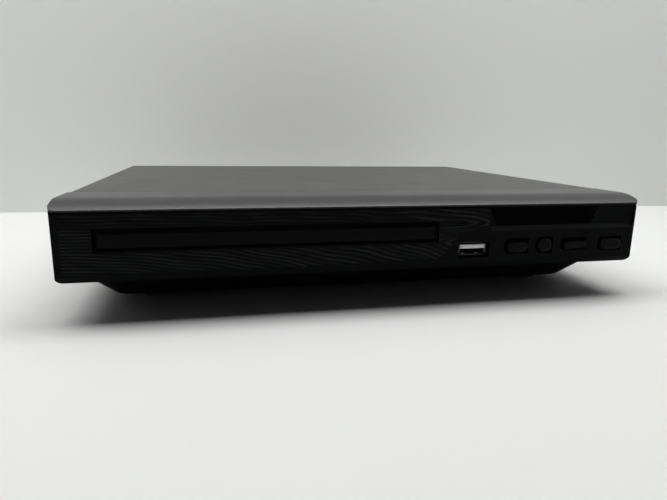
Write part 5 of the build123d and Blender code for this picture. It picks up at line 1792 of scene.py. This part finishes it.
@dataclass
class MainBoard:
    """What stands on the main board round the decoder: chips, cans, plugs, the crystal and the screws."""

    top: float = 15.6
    chips: Sequence[tuple[float, float, Point, int]] = (
        (48.0, 52.0, (18.0, 10.0, 1.1), 22), (101.0, 30.0, (5.2, 4.0, 1.5), 4),
        (46.0, 24.0, (12.0, 7.5, 2.0), 12), (94.0, 70.0, (6.5, 4.4, 1.2), 8),
        (106.0, 44.0, (6.6, 3.6, 1.6), 3))
    cans: Sequence[tuple[float, float, float, float]] = (
        (110.5, 10.0, 3.15, 8.0), (110.5, 19.0, 3.15, 8.0), (109.0, 60.0, 2.5, 7.0), (55.0, 73.0, 3.15, 8.0),
        (36.5, 68.0, 4.0, 11.0), (90.0, 12.0, 2.5, 7.0))
    plugs: Sequence[tuple[float, float, int, float]] = (
        (37.0, 12.0, 4, 90.0), (36.0, 38.0, 6, 90.0), (52.0, 8.0, 3, 0.0))
    specks: Sequence[Spot] = (
        (90.0, 34.0), (93.5, 34.0), (90.0, 38.0), (93.5, 38.0), (88.0, 62.5), (92.0, 62.5), (96.0, 62.5),
        (57.0, 30.0), (57.0, 33.0), (57.0, 36.0), (70.0, 64.0), (74.0, 64.0), (78.0, 64.0), (70.0, 68.0),
        (74.0, 68.0), (46.0, 64.0), (50.0, 64.0), (102.0, 52.0))
    crystal: Sequence[Spot] = ((95.0, 47.0), (105.0, 50.6))
    crystal_height: float = 3.4
    socket: Sequence[Spot] = ((62.5, 11.2), (81.5, 16.0))
    socket_height: float = 4.2
    socket_wall: float = 0.8
    socket_depth: float = 1.4
    screws: Sequence[Spot] = ((33.8, 5.0), (113.0, 5.0), (113.0, 78.0), (33.8, 78.5))

    def build(self) -> None:
        """Place everything on the board."""
        cluster = Cluster("main_board")
        for x, y, size, legs in self.chips:
            SmallParts.chip(cluster, (x, y, self.top), size, legs)
        for x, y, radius, height in self.cans:
            SmallParts.can(cluster, (x, y, self.top), radius, height)
        for x, y, pins, spin in self.plugs:
            SmallParts.plug(cluster, (x, y, self.top), pins, spin)
        for index, (x, y) in enumerate(self.specks):
            SmallParts.speck(cluster, (x, y, self.top), Facing.UP, 90.0 * (index % 2))
        low, high = self.crystal
        crystal = Bench.block("crystal", (*low, self.top), (*high, self.top + self.crystal_height))
        Bench.soften(crystal, 1.2, 4)
        cluster.add("socket_metal", crystal)
        low, high = self.socket
        socket = Bench.block("cable_socket", (*low, self.top), (*high, self.top + self.socket_height))
        Bench.side(socket, Facing.FRONT)
        Bench.inset(self.socket_wall)
        Bench.raise_up(y=self.socket_depth)
        Bench.soften(socket, 0.2)
        cluster.add("plug_white", socket)
        SmallParts.screws(cluster, CrossScrew("board_screw", 2.6, 1.4, 1.2, 1.5),
                          [(x, y, self.top) for x, y in self.screws], 30.0)
        cluster.close()


@dataclass
class PowerBoard:
    """What stands on the power board: the fuse, the choke, resistors, a plug and the switching chip."""

    top: float = 15.6
    fuse: Point = (-98.0, 72.6, 19.0)
    fuse_half: float = 7.5
    fuse_radius: float = 2.4
    fuse_cap: Sequence[Spot] = ((2.45, -2.6), (2.65, -2.6), (2.65, 2.4), (2.3, 2.7), (0, 2.8), (0, 2.4))
    clip_half: Spot = (1.6, 3.2)
    clip_rise: float = 1.5
    clip_bore: float = 2.75
    clip_gap: float = 1.9  # half of it
    choke: Spot = (-31.5, 74.0)
    drum: Sequence[Spot] = ((0, 0), (3.6, 0), (3.8, 0.3), (3.8, 1.2), (2.0, 1.4), (2.0, 6.0), (3.8, 6.2),
                            (3.8, 7.2), (3.6, 7.5), (0, 7.5))
    winding: Sequence[Spot] = ((3.55, 1.6), (3.3, 1.85))  # the first turn of the wire
    winding_turns: int = 9
    winding_pitch: float = 0.5
    resistors: Sequence[Spot] = ((-24.0, 74.0), (-12.0, 74.0), (0.0, 74.0), (-20.0, 90.0), (-8.0, 90.0))
    plug: Spot = (10.0, 73.2)
    cooler: Sequence[Spot] = ((3.5, 83.2), (17.5, 85.0))
    cooler_height: float = 17.0
    fin: Sequence[Spot] = ((3.5, 84.9), (4.6, 89.0))
    fin_start: float = 1.5
    fin_pitch: float = 2.2
    fins: int = 6
    switcher: Sequence[Point] = ((6.0, 79.0, 2.2), (15.0, 83.2, 11.0))  # heights over the board
    switcher_legs: Sequence[float] = (8.0, 10.5, 13.0)
    leg_half: float = 0.35
    leg_y: Spot = (80.6, 81.0)
    leg_z: Spot = (-0.3, 2.4)
    screws: Sequence[Spot] = ((-109.0, 90.5), (-78.0, 71.6), (19.0, 90.5), (19.0, 71.8))

    def build(self) -> None:
        """Place everything on the board."""
        cluster = Cluster("power_board")
        self._fuse(cluster)
        self._choke(cluster)
        self._cooler(cluster)
        for x, y in self.resistors:
            SmallParts.resistor(cluster, (x, y, self.top), Facing.RIGHT)
        SmallParts.plug(cluster, (*self.plug, self.top), 4)
        SmallParts.screws(cluster, CrossScrew("power_screw", 2.6, 1.4, 1.2, 1.5),
                          [(x, y, self.top) for x, y in self.screws], 25.0)
        cluster.close()

    def _fuse(self, cluster: Cluster) -> None:
        """The glass fuse between its two clips.

        Args:
            cluster: what they join.
        """
        x, y, z = self.fuse
        half, radius = self.fuse_half, self.fuse_radius
        glass = Bench.turned("fuse", [(0, -half), (radius, 0.1 - half), (radius, half - 0.1), (0, half)],
                             self.fuse, Facing.RIGHT, 20)
        Bench.soften(glass, 0.0)
        cluster.add("fuse_glass", glass)
        for side, facing in ((-1, Facing.LEFT), (1, Facing.RIGHT)):
            end = x + side * half
            cap = Bench.turned("fuse_cap", self.fuse_cap, (end, y, z), facing, 20)
            Bench.soften(cap, 0.0)
            clip = Bench.block("clip", (end - self.clip_half[0], y - self.clip_half[1], self.top),
                               (end + self.clip_half[0], y + self.clip_half[1], z + self.clip_rise))
            Bench.cut(clip, Bench.rod("hollow", (end, y, z), self.clip_bore, 6.0, Facing.RIGHT, 24))
            Bench.cut(clip, Bench.block("gap", (end - 3, y - self.clip_gap, z),
                                        (end + 3, y + self.clip_gap, z + 4)))
            Bench.soften(clip, 0.1)
            cluster.add("lead_tin", cap)
            cluster.add("pin_brass", clip)

    def _choke(self, cluster: Cluster) -> None:
        """The mains choke: a drum with a copper winding.

        Args:
            cluster: what it joins.
        """
        place = (*self.choke, self.top)
        core = Bench.turned("drum", self.drum, place, Facing.UP, 28)
        Bench.soften(core, 0.0)
        turns = [(3.0, 1.5)]
        for turn in range(self.winding_turns):
            turns += [(radius, height + turn * self.winding_pitch) for radius, height in self.winding]
        turns += [(3.0, 6.0), (2.1, 6.0), (2.1, 1.5)]
        wire = Bench.turned("winding", turns, place, Facing.UP, 28)
        Bench.soften(wire, 0.0)
        cluster.add("chip_black", core)
        cluster.add("copper_wire", wire)

    def _cooler(self, cluster: Cluster) -> None:
        """The switching chip screwed to its finned cooler.

        Args:
            cluster: what they join.
        """
        high = self.top + self.cooler_height
        plate = Bench.block("cooler", (*self.cooler[0], self.top), (*self.cooler[1], high))
        (left, near), (right, far) = self.fin
        fins = [Bench.block("fin", (left + step * self.fin_pitch, near, self.top + self.fin_start),
                            (right + step * self.fin_pitch, far, high)) for step in range(self.fins)]
        cooler = Bench.joined("cooler", [plate, *fins])
        Bench.soften(cooler, 0.2)
        body = Bench.block("switcher", *((x, y, self.top + z) for x, y, z in self.switcher))
        Bench.side(body, Facing.FRONT)
        Bench.inset(0.5, 0.3)
        Bench.soften(body, 0.3)
        legs = [Bench.block("switch_leg", (x - self.leg_half, self.leg_y[0], self.top + self.leg_z[0]),
                            (x + self.leg_half, self.leg_y[1], self.top + self.leg_z[1]))
                for x in self.switcher_legs]
        for leg in legs:
            Bench.soften(leg, 0.1)
        cluster.add("heatsink_alu", cooler)
        cluster.add("chip_black", body)
        cluster.add("lead_tin", *legs)


@dataclass
class FrontBoard:
    """What stands on the back of the front board: the display driver, resistors and its screws."""

    back: float = -86.4
    driver: Spot = (70.0, 32.0)
    driver_size: Point = (18.0, 7.5, 2.2)
    driver_legs: int = 14
    specks: Sequence[Spot] = (
        (40.0, 38.0), (44.0, 38.0), (48.0, 38.0), (40.0, 34.0), (44.0, 34.0), (96.0, 38.0), (100.0, 38.0),
        (104.0, 38.0), (96.0, 34.0), (100.0, 34.0), (52.0, 25.0), (56.0, 25.0), (92.0, 24.0), (96.0, 24.0),
        (100.0, 24.0))
    screws: Sequence[Spot] = ((31.5, 39.2), (111.5, 39.2), (111.5, 21.0))

    def build(self) -> None:
        """Place everything on the board's back."""
        cluster = Cluster("front_board")
        SmallParts.chip(cluster, (self.driver[0], self.back, self.driver[1]), self.driver_size,
                        self.driver_legs, Facing.BACK)
        for x, z in self.specks:
            SmallParts.speck(cluster, (x, self.back, z), Facing.BACK)
        SmallParts.screws(cluster, CrossScrew("panel_screw", 2.5, 1.3, 1.2, 1.4),
                          [(x, self.back, z) for x, z in self.screws], 35.0, Facing.BACK)
        cluster.close()


@dataclass
class TraverseTrim:
    """The traverse deck's small parts: the turntable's grip ring, the lens's ring and coils, screws."""

    axis: Spot = (-40.25, -35.0)
    lens: Spot = (-40.25, -13.0)
    pivot: Spot = (46.0, 22.25)  # Y and Z of the rear pivot
    tilt: float = 5.5
    deck_top: float = 23.0
    table_seat: float = 32.6
    grip: Sequence[Spot] = ((10.2, -0.2), (13.8, -0.2), (13.8, 0.22), (13.2, 0.32), (10.8, 0.32),
                            (10.2, 0.22))
    lens_top: float = 29.4
    lens_ring: Sequence[Spot] = ((2.75, -0.2), (4.1, -0.2), (4.1, 0.35), (3.7, 0.6), (3.0, 0.6),
                                 (2.75, 0.35))
    coil_setback: float = 7.0  # from the lens's axis
    coil_half: Spot = (1.8, 4.5)
    coil_z: Spot = (-2.2, -0.1)  # from the lens's top
    deck_screws: Sequence[Spot] = ((-84.0, 30.0), (4.0, 30.0), (-84.0, -48.0), (4.0, -48.0))

    def build(self) -> None:
        """Make the parts level and turn them down with the deck."""
        tilt = self._tilted()
        grip = Bench.turned("grip_ring", self.grip, (*self.axis, self.table_seat), Facing.UP, 48)
        Bench.soften(grip, 0.0)
        grip.data.transform(tilt)
        Bench.dress(grip, "belt_rubber", Body.SPINDLE)
        ring = Bench.turned("lens_ring", self.lens_ring, (*self.lens, self.lens_top), Facing.UP, 36)
        Bench.soften(ring, 0.0)
        ring.data.transform(tilt)
        Bench.dress(ring, "turntable_black", Body.SLED)
        holder = Cluster("lens_holder", Body.SLED)
        (half_x, half_y), y = self.coil_half, self.lens[1]
        low, high = (self.lens_top + z for z in self.coil_z)
        for side in (-1, 1):
            x = self.lens[0] + side * self.coil_setback
            coil = Bench.block("coil", (x - half_x, y - half_y, low), (x + half_x, y + half_y, high))
            Bench.soften(coil, 0.6, 3)
            holder.add("copper_wire", coil)
        holder.close(tilt)
        screws = Cluster("deck_screws", Body.DECK)
        SmallParts.screws(screws, CrossScrew("deck_screw", 2.6, 1.2, 1.2, 1.2),
                          [(x, y, self.deck_top) for x, y in self.deck_screws], 20.0)
        screws.close(tilt)

    def _tilted(self) -> Matrix:
        """The deck's turn about its rear pivot.

        Returns:
            The turn, in metres.
        """
        pivot = Vector((0.0, *self.pivot)) * MM
        return (Matrix.Translation(pivot) @ Matrix.Rotation(math.radians(self.tilt), 4, "X")
                @ Matrix.Translation(-pivot))


@dataclass
class LoaderTrim:
    """The loader's small parts: the bridge's screws and the loading motor's end cap."""

    bridge_top: float = 37.0
    bridge_screws: Sequence[Spot] = ((-103.0, -53.0), (22.5, -53.0), (-103.0, -17.0), (22.5, -17.0))
    motor: Point = (-90.0, -64.0, 18.5)
    motor_cap: Sequence[Spot] = ((3.2, 0), (4.6, 0), (4.6, 0.35), (4.2, 0.55), (3.2, 0.55))

    def build(self) -> None:
        """Place the screws and finish the motor."""
        cluster = Cluster("loader")
        SmallParts.screws(cluster, CrossScrew("bridge_screw", 2.3, 1.1, 1.1, 1.0),
                          [(x, y, self.bridge_top) for x, y in self.bridge_screws], 30.0)
        cap = Bench.turned("motor_cap", self.motor_cap, self.motor, Facing.UP, 32)
        Bench.soften(cap, 0.0)
        cluster.add("pin_brass", cap)
        cluster.close()


# ---------------------------------------------------------------- whole


def dress_solids() -> None:
    """Give every CAD node the finish of its slot in the record."""
    for name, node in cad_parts.items():
        for holder in node.material_slots:
            label = holder.material.name.split(".")[0]
            holder.material = FINISHES[label].material()
            LOG.info("%s: %s", name, label)


def main() -> None:
    """Build the studio, dress the solids and build each sub-assembly."""
    logging.basicConfig(level=logging.INFO, format="%(message)s")
    Studio().build()
    dress_solids()
    for assembly in (WaveRelief(), FrontControls(), Foot(), Fasteners(), MainBoard(), PowerBoard(),
                     FrontBoard(), TraverseTrim(), LoaderTrim()):
        assembly.build()
        LOG.info("built %s", type(assembly).__name__)


if __name__ == "__main__":
    main()
